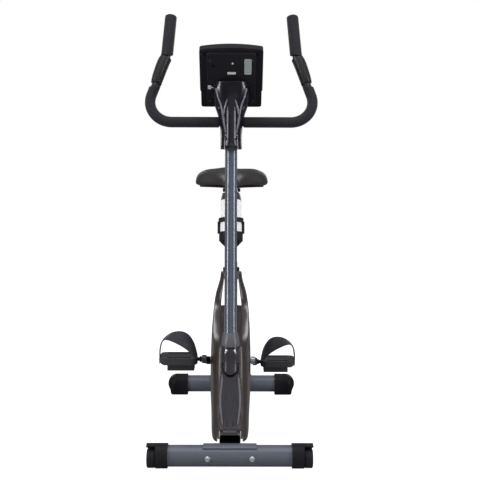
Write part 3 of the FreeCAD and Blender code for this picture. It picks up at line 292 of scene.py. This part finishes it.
    display = Surface("display_glass", linear(120, 130, 118), 0.08, coat=1.0, coat_rough=0.03)
    display.vary(0.06, 12.0).uneven(0.02, 30.0).grain(300.0, 0.01, 0.0002)
    made["display_glass"] = display

    board = Surface("circuit_board", linear(30, 92, 52), 0.4, coat=0.4)
    board.vary(0.15, 50.0).uneven(0.06, 60.0).cells(220.0, 0.2, 0.0003)
    made["circuit_board"] = board

    button = Surface("button_rubber", linear(150, 152, 156), 0.55)
    button.vary(0.06, 60.0).uneven(0.06, 60.0).grain(1500.0, 0.2, 0.0002)
    made["button_rubber"] = button

    label = Surface("label_print", linear(176, 186, 182), 0.4)
    label.vary(0.05, 60.0).uneven(0.05, 50.0).grain(1500.0, 0.05, 0.0001)
    made["label_print"] = label

    thread = Surface("stitch_thread", linear(40, 37, 36), 0.75)
    thread.vary(0.15, 300.0).uneven(0.06, 200.0).grain(4000.0, 0.4, 0.0002)
    made["stitch_thread"] = thread

    eye = Surface("strap_hole", linear(196, 195, 198), 0.6)
    eye.vary(0.06, 90.0).uneven(0.05, 80.0).grain(1500.0, 0.1, 0.0001)
    made["strap_hole"] = eye

    # painted shade: a near-black look for the insides of holes, slots and screw recesses and for the boot's
    # groove and foot lip, standing for the shade that falls in them
    recess_shade = Surface("dark_hole", linear(10, 10, 11), 0.7, specular=0.15)
    recess_shade.vary(0.2, 60.0).uneven(0.08, 80.0).grain(1500.0, 0.2, 0.0002)
    made["dark_hole"] = recess_shade
    return {name: surface.material for name, surface in made.items()}


MATERIALS = make_materials()

CAD_LOOKS = {
    "post_paint": ["front_post"],
    "bar_paint": ["front_stabilizer", "rear_stabilizer", "bar_cradles"],
    "black_paint": ["main_tube", "post_stub", "seat_tube", "crank_shell", "axle_brackets", "bar_clamp",
                    "crank_arm_left", "crank_arm_right", "magnet_bracket", "handlebar", "saddle_clamp"],
    "bright_steel": ["bearings", "cover_screws", "crank_axle", "flywheel_axle", "seat_post", "saddle_rails"],
    "bolt_chrome": ["frame_bolts"],
    "flywheel_iron": ["flywheel"],
    "housing_plastic": ["housing_left", "housing_right", "seat_tube_cover"],
    "spine_plastic": ["spine_cover"],
    "boot_plastic": ["post_boot"],
    "neck_plastic": ["neck_cover_front", "neck_cover_rear"],
    "console_plastic": ["console_back", "console_front", "bottle_cage", "seat_bush", "crank_pulley",
                        "tension_knob", "seat_pin", "saddle_base", "pedal_spindles"],
    "pedal_plastic": ["pedal_left", "pedal_right"],
    "cap_plastic": ["front_caps", "rear_caps"],
    "wheel_plastic": ["wheel_left", "wheel_right"],
    "rubber": ["drive_belt", "strap_left", "strap_right"],
    "foam": ["foam_sleeves", "hand_grips"],
    "pulse_plate": ["pulse_sensors"],
    "saddle_vinyl": ["saddle_pad"],
    "bottle_plastic": ["bottle"],
    "lid_plastic": ["bottle_cap"],
    "white_plastic": ["sensor_plug"],
    "display_glass": ["console_window"],
    "circuit_board": ["console_board"],
    "button_rubber": ["button_mode", "button_set", "button_reset"],
}


def wear_material(obj, name):
    obj.data.materials.clear()
    obj.data.materials.append(MATERIALS[name])


for look, names in CAD_LOOKS.items():
    for node_name in names:
        wear_material(NODES[node_name], look)


# ---- mesh helpers ----------------------------------------------------------------------------
def add(name, verts, faces, look, body, slot, smooth=True):
    """A new piece made of vertices and faces in the bike's own frame."""
    mesh = bpy.data.meshes.new(name)
    mesh.from_pydata([tuple(v) for v in verts], [], faces)
    mesh.validate()
    mesh.update()
    tidy = bmesh.new()
    tidy.from_mesh(mesh)
    bmesh.ops.recalc_face_normals(tidy, faces=tidy.faces)
    tidy.to_mesh(mesh)
    tidy.free()
    obj = bpy.data.objects.new(name, mesh)
    bpy.context.scene.collection.objects.link(obj)
    mesh.polygons.foreach_set("use_smooth", [smooth] * len(mesh.polygons))
    wear_material(obj, look)
    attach(obj, body)
    return obj


def skin(rings, loop=False):
    """Vertices and faces of a closed skin over equal rings. A loop joins its last ring to its first."""
    count = len(rings[0])
    verts = [v for ring in rings for v in ring]
    faces = []
    last = len(rings) if loop else len(rings) - 1
    for r in range(last):
        a, b = r * count, ((r + 1) % len(rings)) * count
        for i in range(count):
            j = (i + 1) % count
            faces.append((a + i, a + j, b + j, b + i))
    if not loop:
        faces.append(tuple(range(count))[::-1])
        faces.append(tuple((len(rings) - 1) * count + i for i in range(count)))
    return verts, faces


def across_axis(axis):
    """Two unit directions square to an axis and to each other."""
    axis = Vector(axis).normalized()
    side = Vector((1, 0, 0)) if abs(axis.x) < 0.9 else Vector((0, 1, 0))
    u = side - axis * side.dot(axis)
    u.normalize()
    return u, axis.cross(u)


def turned(name, place, axis, profile, look, body, slot, count=48):
    """A turned piece: profile is (distance along the axis, radius) from one end to the other."""
    place, axis = Vector(place), Vector(axis).normalized()
    u, v = across_axis(axis)
    rings = []
    for along, radius in profile:
        turns = [FULL_TURN * i / count for i in range(count)]
        rings.append([place + axis * along + (u * math.cos(t) + v * math.sin(t)) * max(radius, 1e-6)
                      for t in turns])
    return add(name, *skin(rings), look, body, slot)


def finish_edges(obj, width, segments=2, sharpest=35):
    """Rounds the edges that turn by more than an angle in degrees."""
    bevel = obj.modifiers.new("bevel", "BEVEL")
    bevel.width = width
    bevel.segments = segments
    bevel.limit_method = "ANGLE"
    bevel.angle_limit = math.radians(sharpest)


def copy_of(node, name, look, body):
    """A new piece that starts as a copy of a CAD node and stands for it."""
    obj = bpy.data.objects.new(name, NODES[node].data.copy())
    bpy.context.scene.collection.objects.link(obj)
    wear_material(obj, look)
    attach(obj, body)
    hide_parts(node)
    return obj


def apply_modifiers(obj):
    """Replaces the object's mesh with what its modifiers make of it."""
    graph = bpy.context.evaluated_depsgraph_get()
    graph.update()
    made = bpy.data.meshes.new_from_object(obj.evaluated_get(graph))
    obj.modifiers.clear()
    old = obj.data
    obj.data = made
    bpy.data.meshes.remove(old)
    made.polygons.foreach_set("use_smooth", [True] * len(made.polygons))


def remesh(obj, size, smooth):
    """An even mesh of small faces, smoothed a number of times."""
    made = obj.modifiers.new("remesh", "REMESH")
    made.mode = "VOXEL"
    made.voxel_size = size
    relax = obj.modifiers.new("relax", "SMOOTH")
    relax.factor = 0.5
    relax.iterations = smooth
    apply_modifiers(obj)


# ---- padded pieces -----------------------------------------------------------------------------
CLOTH_FRAMES = 20
CLOTH_REACH = 0.005  # the furthest that the cloth may move from the pad


def saddle_top():
    """The saddle's padded vinyl cover, blown up a little by a cloth simulation."""
    pad = copy_of("saddle_pad", "saddle_cover", "saddle_vinyl", "saddle")
    remesh(pad, 0.005, 3)
    start = [v.co.copy() for v in pad.data.vertices]
    cloth = pad.modifiers.new("cloth", "CLOTH")
    cloth.settings.use_pressure = True
    cloth.settings.uniform_pressure_force = 4.0
    cloth.settings.effector_weights.gravity = 0.0
    cloth.settings.quality = 5
    cloth.point_cache.frame_start = 1
    cloth.point_cache.frame_end = CLOTH_FRAMES
    scene = bpy.context.scene
    for step in range(1, CLOTH_FRAMES + 1):
        scene.frame_set(step)
    apply_modifiers(pad)
    scene.frame_set(1)
    for vertex, home in zip(pad.data.vertices, start):
        move = vertex.co - home
        if move.length > CLOTH_REACH:
            vertex.co = home + move.normalized() * CLOTH_REACH
    smooth = pad.modifiers.new("smooth", "SUBSURF")
    smooth.levels = smooth.render_levels = 1


def foam_pieces():
    """Foam sleeves and grips of the handlebar."""
    for node, name in (("foam_sleeves", "foam_tube"), ("hand_grips", "foam_grip")):
        foam = copy_of(node, name, "foam", "handlebar")
        remesh(foam, 0.0016, 4)


# across (0 at the crank, 1 at the far side) and height (1 at the crown) of the strap's two edges
STRAP_STEPS = 64     # along the strap
STRAP_COLUMNS = 6    # across it
STRAP_THICK = 0.0026
STRAP_REAR = ((0.0, 0.0), (0.0, 0.10), (0.02, 0.27), (0.05, 0.45), (0.11, 0.66), (0.22, 0.87), (0.34, 0.97),
              (0.46, 1.0), (0.60, 0.985), (0.73, 0.92), (0.86, 0.79), (0.95, 0.62), (0.99, 0.42), (1.0, 0.22),
              (0.995, 0.10), (0.99, 0.0))
STRAP_FRONT = ((0.0, 0.0), (0.01, 0.07), (0.03, 0.14), (0.07, 0.21), (0.14, 0.32), (0.25, 0.44), (0.36, 0.54),
               (0.48, 0.63), (0.62, 0.72), (0.74, 0.78), (0.84, 0.79), (0.91, 0.70), (0.945, 0.50),
               (0.96, 0.28), (0.97, 0.12), (0.975, 0.0))


def smooth_line(points, steps):
    """Even steps along a Catmull-Rom curve through the points."""
    line = []
    last = len(points) - 1
    for i in range(steps + 1):
        place = i * last / steps
        k = min(int(place), last - 1)
        t = place - k
        p = [Vector(points[min(max(k + j, 0), last)]) for j in (-1, 0, 1, 2)]
        line.append(0.5 * (2 * p[1] + (p[2] - p[0]) * t + (2 * p[0] - 5 * p[1] + 4 * p[2] - p[3]) * t * t
                           + (3 * p[1] - p[0] - 3 * p[2] + p[3]) * t * t * t))
    return line


def strap(side_name, side):
    """A wide soft strap that leans over the pedal, lower in front and higher behind, with its holes."""
    low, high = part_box("strap_" + side_name)
    inner = low.x if side > 0 else high.x
    wide = (high.x - low.x) * side
    tall = high.z - low.z
    outer, inset = [], []
    for rear, front in zip(smooth_line(STRAP_REAR, STRAP_STEPS), smooth_line(STRAP_FRONT, STRAP_STEPS)):
        edge = []
        for k in range(STRAP_COLUMNS + 1):
            t = k / STRAP_COLUMNS
            across, up = front.lerp(rear, t)
            crown = 0.0012 * math.sin(math.pi * t)
            edge.append(Vector((inner + wide * across, low.y + (high.y - low.y) * t,
                                low.z + tall * up - 0.0014 + crown)))
        outer.append(edge)
    middle = Vector((inner + wide * 0.5, (low.y + high.y) / 2, low.z + tall * 0.25))
    for i, edge in enumerate(outer):
        before, after = outer[max(i - 1, 0)], outer[min(i + 1, STRAP_STEPS)]
        back = []
        for k, point in enumerate(edge):
            along = after[k] - before[k]
            cross = edge[min(k + 1, STRAP_COLUMNS)] - edge[max(k - 1, 0)]
            normal = along.cross(cross).normalized()
            if normal.dot(middle - point) < 0:
                normal = -normal
            back.append(point + normal * STRAP_THICK)
        inset.append(back)
    rings = [a + b[::-1] for a, b in zip(outer, inset)]
    made = add("toe_strap_" + side_name, *skin(rings), "rubber", "pedal_" + side_name, "belt_rubber")
    finish_edges(made, 0.0005)
    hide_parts("strap_" + side_name)
    for hole in range(5):
        i = int(STRAP_STEPS * (0.80 + 0.028 * hole))
        point = outer[i][3]
        normal = (inset[i][3] - point).normalized()
        turned("strap_hole_%s_%d" % (side_name, hole), point - normal * 0.0004, normal,
               [(0.0, 0.0001), (0.0, 0.0024), (0.0008, 0.0026), (0.0014, 0.0001)], "strap_hole",
               "pedal_" + side_name, "belt_rubber", 20)


# ---- pressed and moulded panels ------------------------------------------------------------------
def caster(node):
    """A function that finds the front of a CAD node at a place across and a height."""
    mesh = NODES[node].data
    world = NODES[node].matrix_world
    corners = [world @ v.co for v in mesh.vertices]
    tree = BVHTree.FromPolygons(corners, [tuple(p.vertices) for p in mesh.polygons])

    def front(x, z):
        hit, normal, _, _ = tree.ray_cast(Vector((x, -3.0, z)), Vector((0, 1, 0)))
        return hit, normal
    return front


def depth_near(front, x, z, last):
    """The node's depth at a place, or a little nearer its middle, or else the last depth found."""
    for step in range(40):
        nearer = x * (1.0 - 0.01 * step)
        hit = front(nearer, z)[0] or front(nearer, z + 0.0008 * step)[0]
        if hit is not None:
            return hit.y
    return last


FLANK_COLUMNS = 2    # on each side of a crease
PLAIN_COLUMNS = 4    # between two creases
COLUMN_GAP = 0.0004  # the closest that two creases come
# the lighter look that raised creases take is a painted highlight
HIGHLIGHT_LIFT = 0.0006  # creases higher than this take the lighter look


def crease_columns(lines, half):
    """Places from the middle to the edge, with a column on each crease and on the foot of each flank."""
    marks = [0.0]
    for centre, width, _ in lines:
        marks += [centre - width, centre, centre + width]
    marks.append(half)
    last = len(marks) - 1
    for i in range(1, last):
        marks[i] = min(max(marks[i], marks[i - 1] + COLUMN_GAP), half - COLUMN_GAP * (last - i))
    places = [0.0]
    for i in range(last):
        steps = PLAIN_COLUMNS if i % 3 == 0 else FLANK_COLUMNS
        places += [marks[i] + (marks[i + 1] - marks[i]) * k / steps for k in range(1, steps + 1)]
    return places


def crease_lift(x, lines):
    """How far the tallest crease at a place stands out there, or less than nothing for a groove."""
    best = 0.0
    for centre, width, height in lines:
        share = max(0.0, 1.0 - abs(x - centre) / width)
        lift = height * share * (1.1 - 0.1 * share)
        if abs(lift) > abs(best):
            best = lift
    return best


def relief_panel(name, node, rows, lines_at, thick, look, highlight_look, slot):
    """A panel that lies on the front of a CAD node and has its creases raised or sunk; faces on the raised
    creases take a second, lighter look, a painted highlight.
    """
    front = caster(node)
    outer, inner, lifts = [], [], []
    depth = front(0.0, rows[len(rows) // 2][0])[0].y
    for z, half in rows:
        lines = lines_at(z, half)
        one_side = crease_columns(lines, half)
        places = [-x for x in one_side[:0:-1]] + one_side
        line = []
        for x in places:
            depth = depth_near(front, x, z, depth)
            line.append(Vector((x, depth, z)))
        lifts.append([crease_lift(abs(x), lines) for x in places])
        outer.append([p - Vector((0, lift, 0)) for p, lift in zip(line, lifts[-1])])
        inner.append([p + Vector((0, thick, 0)) for p in line])
    rings = [a + b[::-1] for a, b in zip(outer, inner)]
    made = add(name, *skin(rings), look, "frame", slot)
    made.data.materials.append(MATERIALS[highlight_look])
    columns, count = len(outer[0]), len(rings[0])
    for r in range(len(rows) - 1):
        for i in range(columns - 1):
            # faces on raised creases take the second look: a painted highlight along each crease
            if max(lifts[r][i], lifts[r][i + 1]) > HIGHLIGHT_LIFT:
                made.data.polygons[r * count + i].material_index = 1
    finish_edges(made, 0.0005, sharpest=65)
    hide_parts(node)
    return made


def between(table, value):
    """Reads a table of (place, value) rows, straight between its rows."""
    if value <= table[0][0]:
        return table[0][1]
    for (a, first), (b, second) in zip(table, table[1:]):
        if value <= b:
            return first + (second - first) * (value - a) / (b - a)
    return table[-1][1]


# each table: height, then half width or place across
NECK_HALF = ((0.906, 0.0185), (0.950, 0.0195), (0.975, 0.026), (1.010, 0.034), (1.060, 0.0495),
             (1.090, 0.0520), (1.098, 0.0500), (1.104, 0.0450))
NECK_OUTER = ((0.945, 0.0170), (0.972, 0.0210), (0.985, 0.0235), (1.000, 0.0262), (1.017, 0.0290),
              (1.034, 0.0330), (1.056, 0.0415), (1.078, 0.0470), (1.104, 0.0480))
NECK_BRANCH = ((0.945, 0.0148), (0.985, 0.0180), (1.002, 0.0222), (1.016, 0.0212), (1.034, 0.0165),
               (1.052, 0.0110))
NECK_STRIPE = ((0.908, 0.0138), (0.920, 0.0116), (0.935, 0.0110), (1.026, 0.0108), (1.052, 0.0055))


def fade(value, start, end):
    """Goes from 0 at the start to 1 at the end, and stays between them."""
    return min(1.0, max(0.0, (value - start) / (end - start)))


def neck_lines(z, half):
    """The tongue's creases at a height: (place across, half width, height)."""
    return ((between(NECK_STRIPE, z), 0.0024, 0.0013 * fade(z, 1.034, 1.010)),
            (between(NECK_BRANCH, z), 0.0022, 0.0012 * fade(z, 1.056, 1.040) * fade(z, 0.998, 1.006)),
            (between(NECK_OUTER, z), 0.0026, 0.0014 * fade(z, 0.935, 0.955) * fade(z, 1.094, 1.082)))


def neck_panel():
    """The neck cover's front tongue, with its forked creases, whose raised faces carry a painted highlight.
    """
    low, high = 0.9065, 1.1035
    heights = [low + (high - low) * i / 90 for i in range(91)]
    relief_panel("neck_tongue", "neck_cover_front", [(z, between(NECK_HALF, z)) for z in heights], neck_lines,
                 0.0025, "neck_plastic", "neck_crease_highlight", "blue_grey_plastic")


SPINE_HALF = ((0.0885, 0.0215), (0.096, 0.0235), (0.115, 0.0275), (0.150, 0.0322), (0.172, 0.0328),
              (0.215, 0.0275), (0.262, 0.0272))
SPINE_GROOVE = ((0.098, 0.0130), (0.130, 0.0150), (0.180, 0.0155))


def spine_lines(z, half):
    """The shield's finger grooves and its raised edges at a height."""
    deep = fade(z, 0.184, 0.140) * fade(z, 0.097, 0.104)
    return ((between(SPINE_GROOVE, z), 0.0062, -0.0055 * deep),
            (half - 0.0032, 0.0028, 0.0015 * fade(z, 0.098, 0.112) * fade(z, 0.236, 0.205)))


def spine_panel():
    """The shield on the front of the covers, with raised edges that carry a painted highlight, and two finger
    grooves.
    """
    low, high = 0.0908, 0.2558
    heights = [low + (high - low) * i / 80 for i in range(81)]
    relief_panel("spine_shield", "spine_cover", [(z, between(SPINE_HALF, z)) for z in heights], spine_lines,
                 0.0026, "spine_plastic", "spine_edge_highlight", "blue_grey_plastic")


CHIN_TALL = 0.0125
CHIN_HALF = 0.0295
CHIN_THICK = 0.0022


def chin():
    """The rounded chin that closes the covers across the front, just over the main tube."""
    low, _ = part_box("spine_cover")
    foot = low.z - 0.0005
    rings = []
    for k in range(9):
        t = k / 8
        z = foot + CHIN_TALL * t
        swell = 0.0016 * math.sin(math.pi * t)
        half = CHIN_HALF + 0.0008 * t
        line = []
        for i in range(33):
            u = -1.0 + 2.0 * i / 32
            y = low.y + 0.0075 + 0.0105 * t - swell + 0.0030 * u * u
            line.append(Vector((half * u, y, z)))
        rings.append(line + [p + Vector((0, CHIN_THICK, 0)) for p in line[::-1]])
    made = add("cover_chin", *skin(rings), "housing_plastic", "frame", "housing_plastic")
    finish_edges(made, 0.0006)


POST_LEAN = math.radians(12.3)
POST_RADIUS = 0.019


def post_point(z):
    """The middle of the front post at a height."""
    _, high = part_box("front_post")
    return Vector((0, high.y - POST_RADIUS - (high.z - z) * math.tan(POST_LEAN), z))


def ring_at(z, across, deep):
    """A level oval ring round the post."""
    centre = post_point(z)
    turns = [FULL_TURN * i / 48 for i in range(48)]
    return [centre + Vector((across * math.cos(t), deep * math.sin(t), 0)) for t in turns]


def capsule(name, place, along, normal, half, radius, look, slot):
    """A small raised capsule that lies on a surface."""
    along = (along - normal * along.dot(normal)).normalized()
    across = normal.cross(along)
    rings = []
    for height, share in ((-0.0006, 1.0), (0.0004, 1.0), (0.0011, 0.86), (0.0015, 0.6), (0.0016, 0.2)):
        ring = []
        for i in range(40):
            turn = FULL_TURN * i / 40
            end = half - radius if math.sin(turn) >= 0 else -(half - radius)
            ring.append(place + along * (end * (0.4 + 0.6 * share) + math.sin(turn) * radius * share)
                        + across * (math.cos(turn) * radius * share) + normal * height)
        rings.append(ring)
    return add(name, *skin(rings), look, "frame", slot)


def boot_details():
    """The boot's collar, its groove, two chrome capsules that stand for the highlights on its shoulder, and
    the lip at its foot; the groove and the lip take the near-black painted shade.
    """
    profile = ((0.3010, 0.0262), (0.3040, 0.0272), (0.3120, 0.0274), (0.3200, 0.0268), (0.3290, 0.0250),
               (0.3370, 0.0226), (0.3420, 0.0208), (0.3430, 0.0200), (0.3425, 0.0193), (0.3010, 0.0193))
    rings = [ring_at(z, r, r + 0.0006) for z, r in profile]
    add("boot_collar", *skin(rings, loop=True), "collar_plastic", "frame", "blue_grey_plastic")
    groove = []
    for k in range(8):
        turn = FULL_TURN * k / 8
        radius = 0.0266 + 0.0011 * math.cos(turn)
        groove.append(ring_at(0.3003 + 0.0013 * math.sin(turn), radius, radius + 0.0012))
    # the groove ring takes the near-black painted shade of a recess
    add("boot_groove", *skin(groove, loop=True), "dark_hole", "frame", "blue_grey_plastic")
    front = caster("post_boot")
    for side_name, side in SIDES:
        hit, normal = front(side * 0.0135, 0.291)
        # painted highlight: two chrome capsules stand for the highlights on the boot's sloping shoulder
        capsule("boot_highlight_capsule_" + side_name, hit, Vector((-side * 0.45, 0, 1)), normal, 0.0070, 0.0034,
                "bolt_chrome", "chrome_bolt")
    path = []
    for i in range(41):
        turn = math.pi * (1 + i / 40)
        x, z = 0.0243 * math.cos(turn), 0.250 + 0.0255 * math.sin(turn)
        hit = front(x, max(z, 0.2262))[0]
        if hit is not None:
            path.append(Vector((x, hit.y, z)))
    rings = [[p + Vector((0.0, -0.0016 + 0.0022 * math.cos(t), 0.0016 * math.sin(t)))
              for t in [FULL_TURN * k / 10 for k in range(10)]] for p in path]
    # the lip at the boot's foot is drawn near-black: painted shade under the boot's edge
    add("boot_lip", *skin(rings), "dark_hole", "frame", "blue_grey_plastic")


CONSOLE_LEAN = math.radians(35)
FACE_UP = Vector((0, -math.sin(CONSOLE_LEAN), math.cos(CONSOLE_LEAN)))
FACE_IN = Vector((0, math.cos(CONSOLE_LEAN), math.sin(CONSOLE_LEAN)))


def console_point(across, up, depth=0.0):
    """A point of the console's leaning back from its place across, along the face and into it."""
    low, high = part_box("front_stabilizer")
    foot = Vector((0, (low.y + high.y) / 2 + 0.400, 1.026))
    return foot + Vector((across, 0, 0)) + FACE_UP * up + FACE_IN * depth


def face_slab(name, across, up, width, tall, radius, low, high, look, slot, turn=0.0):
    """A flat piece with round corners on the console's back, from one depth to another."""
    corners = []
    for cx, cz, start in ((1, 1, 0), (-1, 1, 90), (-1, -1, 180), (1, -1, 270)):
        for k in range(7):
            angle = math.radians(start + 15 * k)
            x = cx * (width / 2 - radius) + radius * math.cos(angle)
            z = cz * (tall / 2 - radius) + radius * math.sin(angle)
            corners.append((x * math.cos(turn) - z * math.sin(turn), x * math.sin(turn) + z * math.cos(turn)))
    rings = [[console_point(across + x, up + z, depth) for x, z in corners] for depth in (low, high)]
    made = add(name, *skin(rings), look, "frame", slot, smooth=False)
    finish_edges(made, 0.0003)


def console_details():
    """Label, tab, stud, hole, slots and screws on the console's back."""
    face_slab("console_label", 0.051, 0.146, 0.022, 0.053, 0.003, 0.0002, -0.0005, "label_print",
              "white_plastic")
    face_slab("console_tab", 0.001, 0.124, 0.026, 0.008, 0.001, 0.0002, -0.0008, "white_plastic",
              "white_plastic")
    turned("console_stud", console_point(0.004, 0.157, 0.0002), -FACE_IN,
           [(0, 0.0030), (0.0006, 0.0030), (0.0012, 0.0022), (0.0014, 0.0004)], "white_plastic", "frame",
           "white_plastic", 24)
    # the hole is a near-black dish: painted shade inside the hole
    turned("console_hole", console_point(-0.055, 0.149, 0.0002), -FACE_IN,
           [(0, 0.0042), (0.0006, 0.0042), (0.0010, 0.0034), (0.0004, 0.0030), (0.0003, 0.0002)], "dark_hole",
           "frame", "black_plastic", 28)
    for side_name, side in SIDES:
        # near-black slabs in the slots: painted shade inside them
        face_slab("console_slot_" + side_name, side * 0.0815, 0.184, 0.0035, 0.013, 0.0012, 0.0082, 0.0074,
                  "dark_hole", "black_plastic", side * -0.35)
        for k, up in enumerate((0.024, 0.166)):
            turned("console_screw_%s_%d" % (side_name, k), console_point(side * 0.066, up, 0.0002), -FACE_IN,
                   [(0, 0.0034), (0.0008, 0.0034), (0.0014, 0.0027), (0.0012, 0.0010), (0.0006, 0.0002)],
                   "black_paint", "frame", "chrome_bolt", 24)
        for k in range(5):
            face_slab("console_rib_%s_%d" % (side_name, k), side * 0.0865, 0.030 + 0.0055 * k, 0.012, 0.0022,
                      0.0008, 0.0086, 0.0074, "console_plastic", "black_plastic")
    _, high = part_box("sensor_plug")
    lead = [(high.x - 0.002, 0.0772, -0.001), (high.x + 0.003, 0.0760, -0.0028),
            (high.x + 0.0075, 0.0740, -0.0020), (high.x + 0.010, 0.0722, 0.0006)]
    line = smooth_line(lead, 16)
    rings = []
    for x, up, depth in line:
        centre = console_point(x, up, depth)
        rings.append([centre + (FACE_UP * math.cos(t) - FACE_IN * math.sin(t)) * 0.0018
                      for t in [FULL_TURN * k / 12 for k in range(12)]])
    add("sensor_lead", *skin(rings), "white_plastic", "frame", "white_plastic")


def neck_screws():
    """The recessed screws that hold the neck cover's two halves together, drawn near-black in the painted
    shade of their recesses.
    """
    front = caster("neck_cover_front")
    for side_name, side in SIDES:
        for k, (x, z, size) in enumerate(((0.0465, 1.086, 0.0040), (0.0152, 0.926, 0.0034))):
            hit, normal = front(side * x, z)
            if hit is None:
                continue
            # the screws take the near-black look: painted shade of their recesses
            turned("neck_screw_%s_%d" % (side_name, k), hit - normal * 0.0006, normal,
                   [(0, size), (0.0030, size), (0.0034, size * 0.8), (0.0022, size * 0.7), (0.0020, 0.0002)],
                   "dark_hole", "frame", "bright_steel", 24)


saddle_top()
foam_pieces()
for side_name, side in SIDES:
    strap(side_name, side)
neck_panel()
neck_screws()
spine_panel()
chin()
boot_details()
console_details()


# ---- stage, lights and camera --------------------------------------------------------------------
def stage():
    """A pale paper floor and a grey world that the camera sees as white."""
    reach = 14.0
    verts = [(-reach, -reach, 0), (reach, -reach, 0), (reach, reach, 0), (-reach, reach, 0)]
    mesh = bpy.data.meshes.new("floor")
    mesh.from_pydata(verts, [], [(0, 1, 2, 3)])
    floor = bpy.data.objects.new("floor", mesh)
    bpy.context.scene.collection.objects.link(floor)
    surface = Surface("floor_paper", (0.42, 0.42, 0.42, 1.0), 0.9, specular=0.0)
    surface.vary(0.015, 1.5).uneven(0.03, 8.0).grain(60.0, 0.02, 0.0005)
    glow = surface.spread(surface.node("ShaderNodeLightPath").outputs["Is Camera Ray"], 0.0, 1.0, 0.0, 0.97)
    surface.put("Emission Color", (1.0, 1.0, 1.0, 1.0))
    surface.link(glow, surface.shader.inputs["Emission Strength"])
    mesh.materials.append(surface.material)

    world = bpy.data.worlds.new("studio")
    world.use_nodes = True
    bpy.context.scene.world = world
    tree = world.node_tree
    back = tree.nodes["Background"]
    seen = tree.nodes.new("ShaderNodeBackground")
    seen.inputs["Color"].default_value = (1, 1, 1, 1)
    back.inputs["Color"].default_value = (0.17, 0.172, 0.185, 1)
    path = tree.nodes.new("ShaderNodeLightPath")
    mix = tree.nodes.new("ShaderNodeMixShader")
    tree.links.new(path.outputs["Is Camera Ray"], mix.inputs["Fac"])
    tree.links.new(back.outputs["Background"], mix.inputs[1])
    tree.links.new(seen.outputs["Background"], mix.inputs[2])
    tree.links.new(mix.outputs["Shader"], tree.nodes["World Output"].inputs["Surface"])


def area_light(name, azimuth, distance, height, aim_height, width, tall, watts):
    """A rectangular soft light. Azimuth 0 is in front of the bike, and grows to the right."""
    turn = math.radians(azimuth)
    place = Vector((math.sin(turn) * distance, -math.cos(turn) * distance, height))
    data = bpy.data.lights.new(name, "AREA")
    data.shape = "RECTANGLE"
    data.size = width
    data.size_y = tall
    data.energy = watts
    lamp = bpy.data.objects.new(name, data)
    lamp.location = place
    aim = Vector((0, 0, aim_height)) - place
    lamp.rotation_euler = aim.to_track_quat("-Z", "Y").to_euler()
    bpy.context.scene.collection.objects.link(lamp)


# name: azimuth, distance, height, height it aims at, width, length, watts
LIGHTS = {
    "left_strip": (-62, 3.0, 1.7, 0.8, 0.36, 2.6, 42),
    "right_strip": (64, 3.0, 1.7, 0.8, 0.34, 2.6, 38),
    "top_box": (0, 0.6, 3.4, 0.4, 3.0, 3.0, 34),
    "front_fill": (8, 4.6, 1.6, 0.7, 2.4, 2.4, 7),
    "rear_left": (150, 3.4, 2.0, 0.7, 1.2, 2.0, 22),
    "rear_right": (-150, 3.4, 2.0, 0.7, 1.2, 2.0, 22),
}
CAMERA_ACROSS = 0.0142
CAMERA_BEFORE_BAR = 2.29
CAMERA_HEIGHT = 0.865
CAMERA_TURNS = (84.5, -0.18, -0.293)  # degrees about x, y and z
LENS = 63.0
SENSOR = 36.0


def lights_and_camera():
    """The studio's lights, and the camera in front of the front foot bar."""
    for name, settings in LIGHTS.items():
        area_light(name, *settings)
    bar_low, bar_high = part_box("front_stabilizer")
    data = bpy.data.cameras.new("camera")
    data.lens = LENS
    data.sensor_width = SENSOR
    camera = bpy.data.objects.new("camera", data)
    camera.location = (CAMERA_ACROSS, (bar_low.y + bar_high.y) / 2 - CAMERA_BEFORE_BAR, CAMERA_HEIGHT)
    camera.rotation_euler = [math.radians(turn) for turn in CAMERA_TURNS]
    bpy.context.scene.collection.objects.link(camera)
    bpy.context.scene.camera = camera
    bpy.context.scene.view_settings.view_transform = "Standard"


stage()
lights_and_camera()
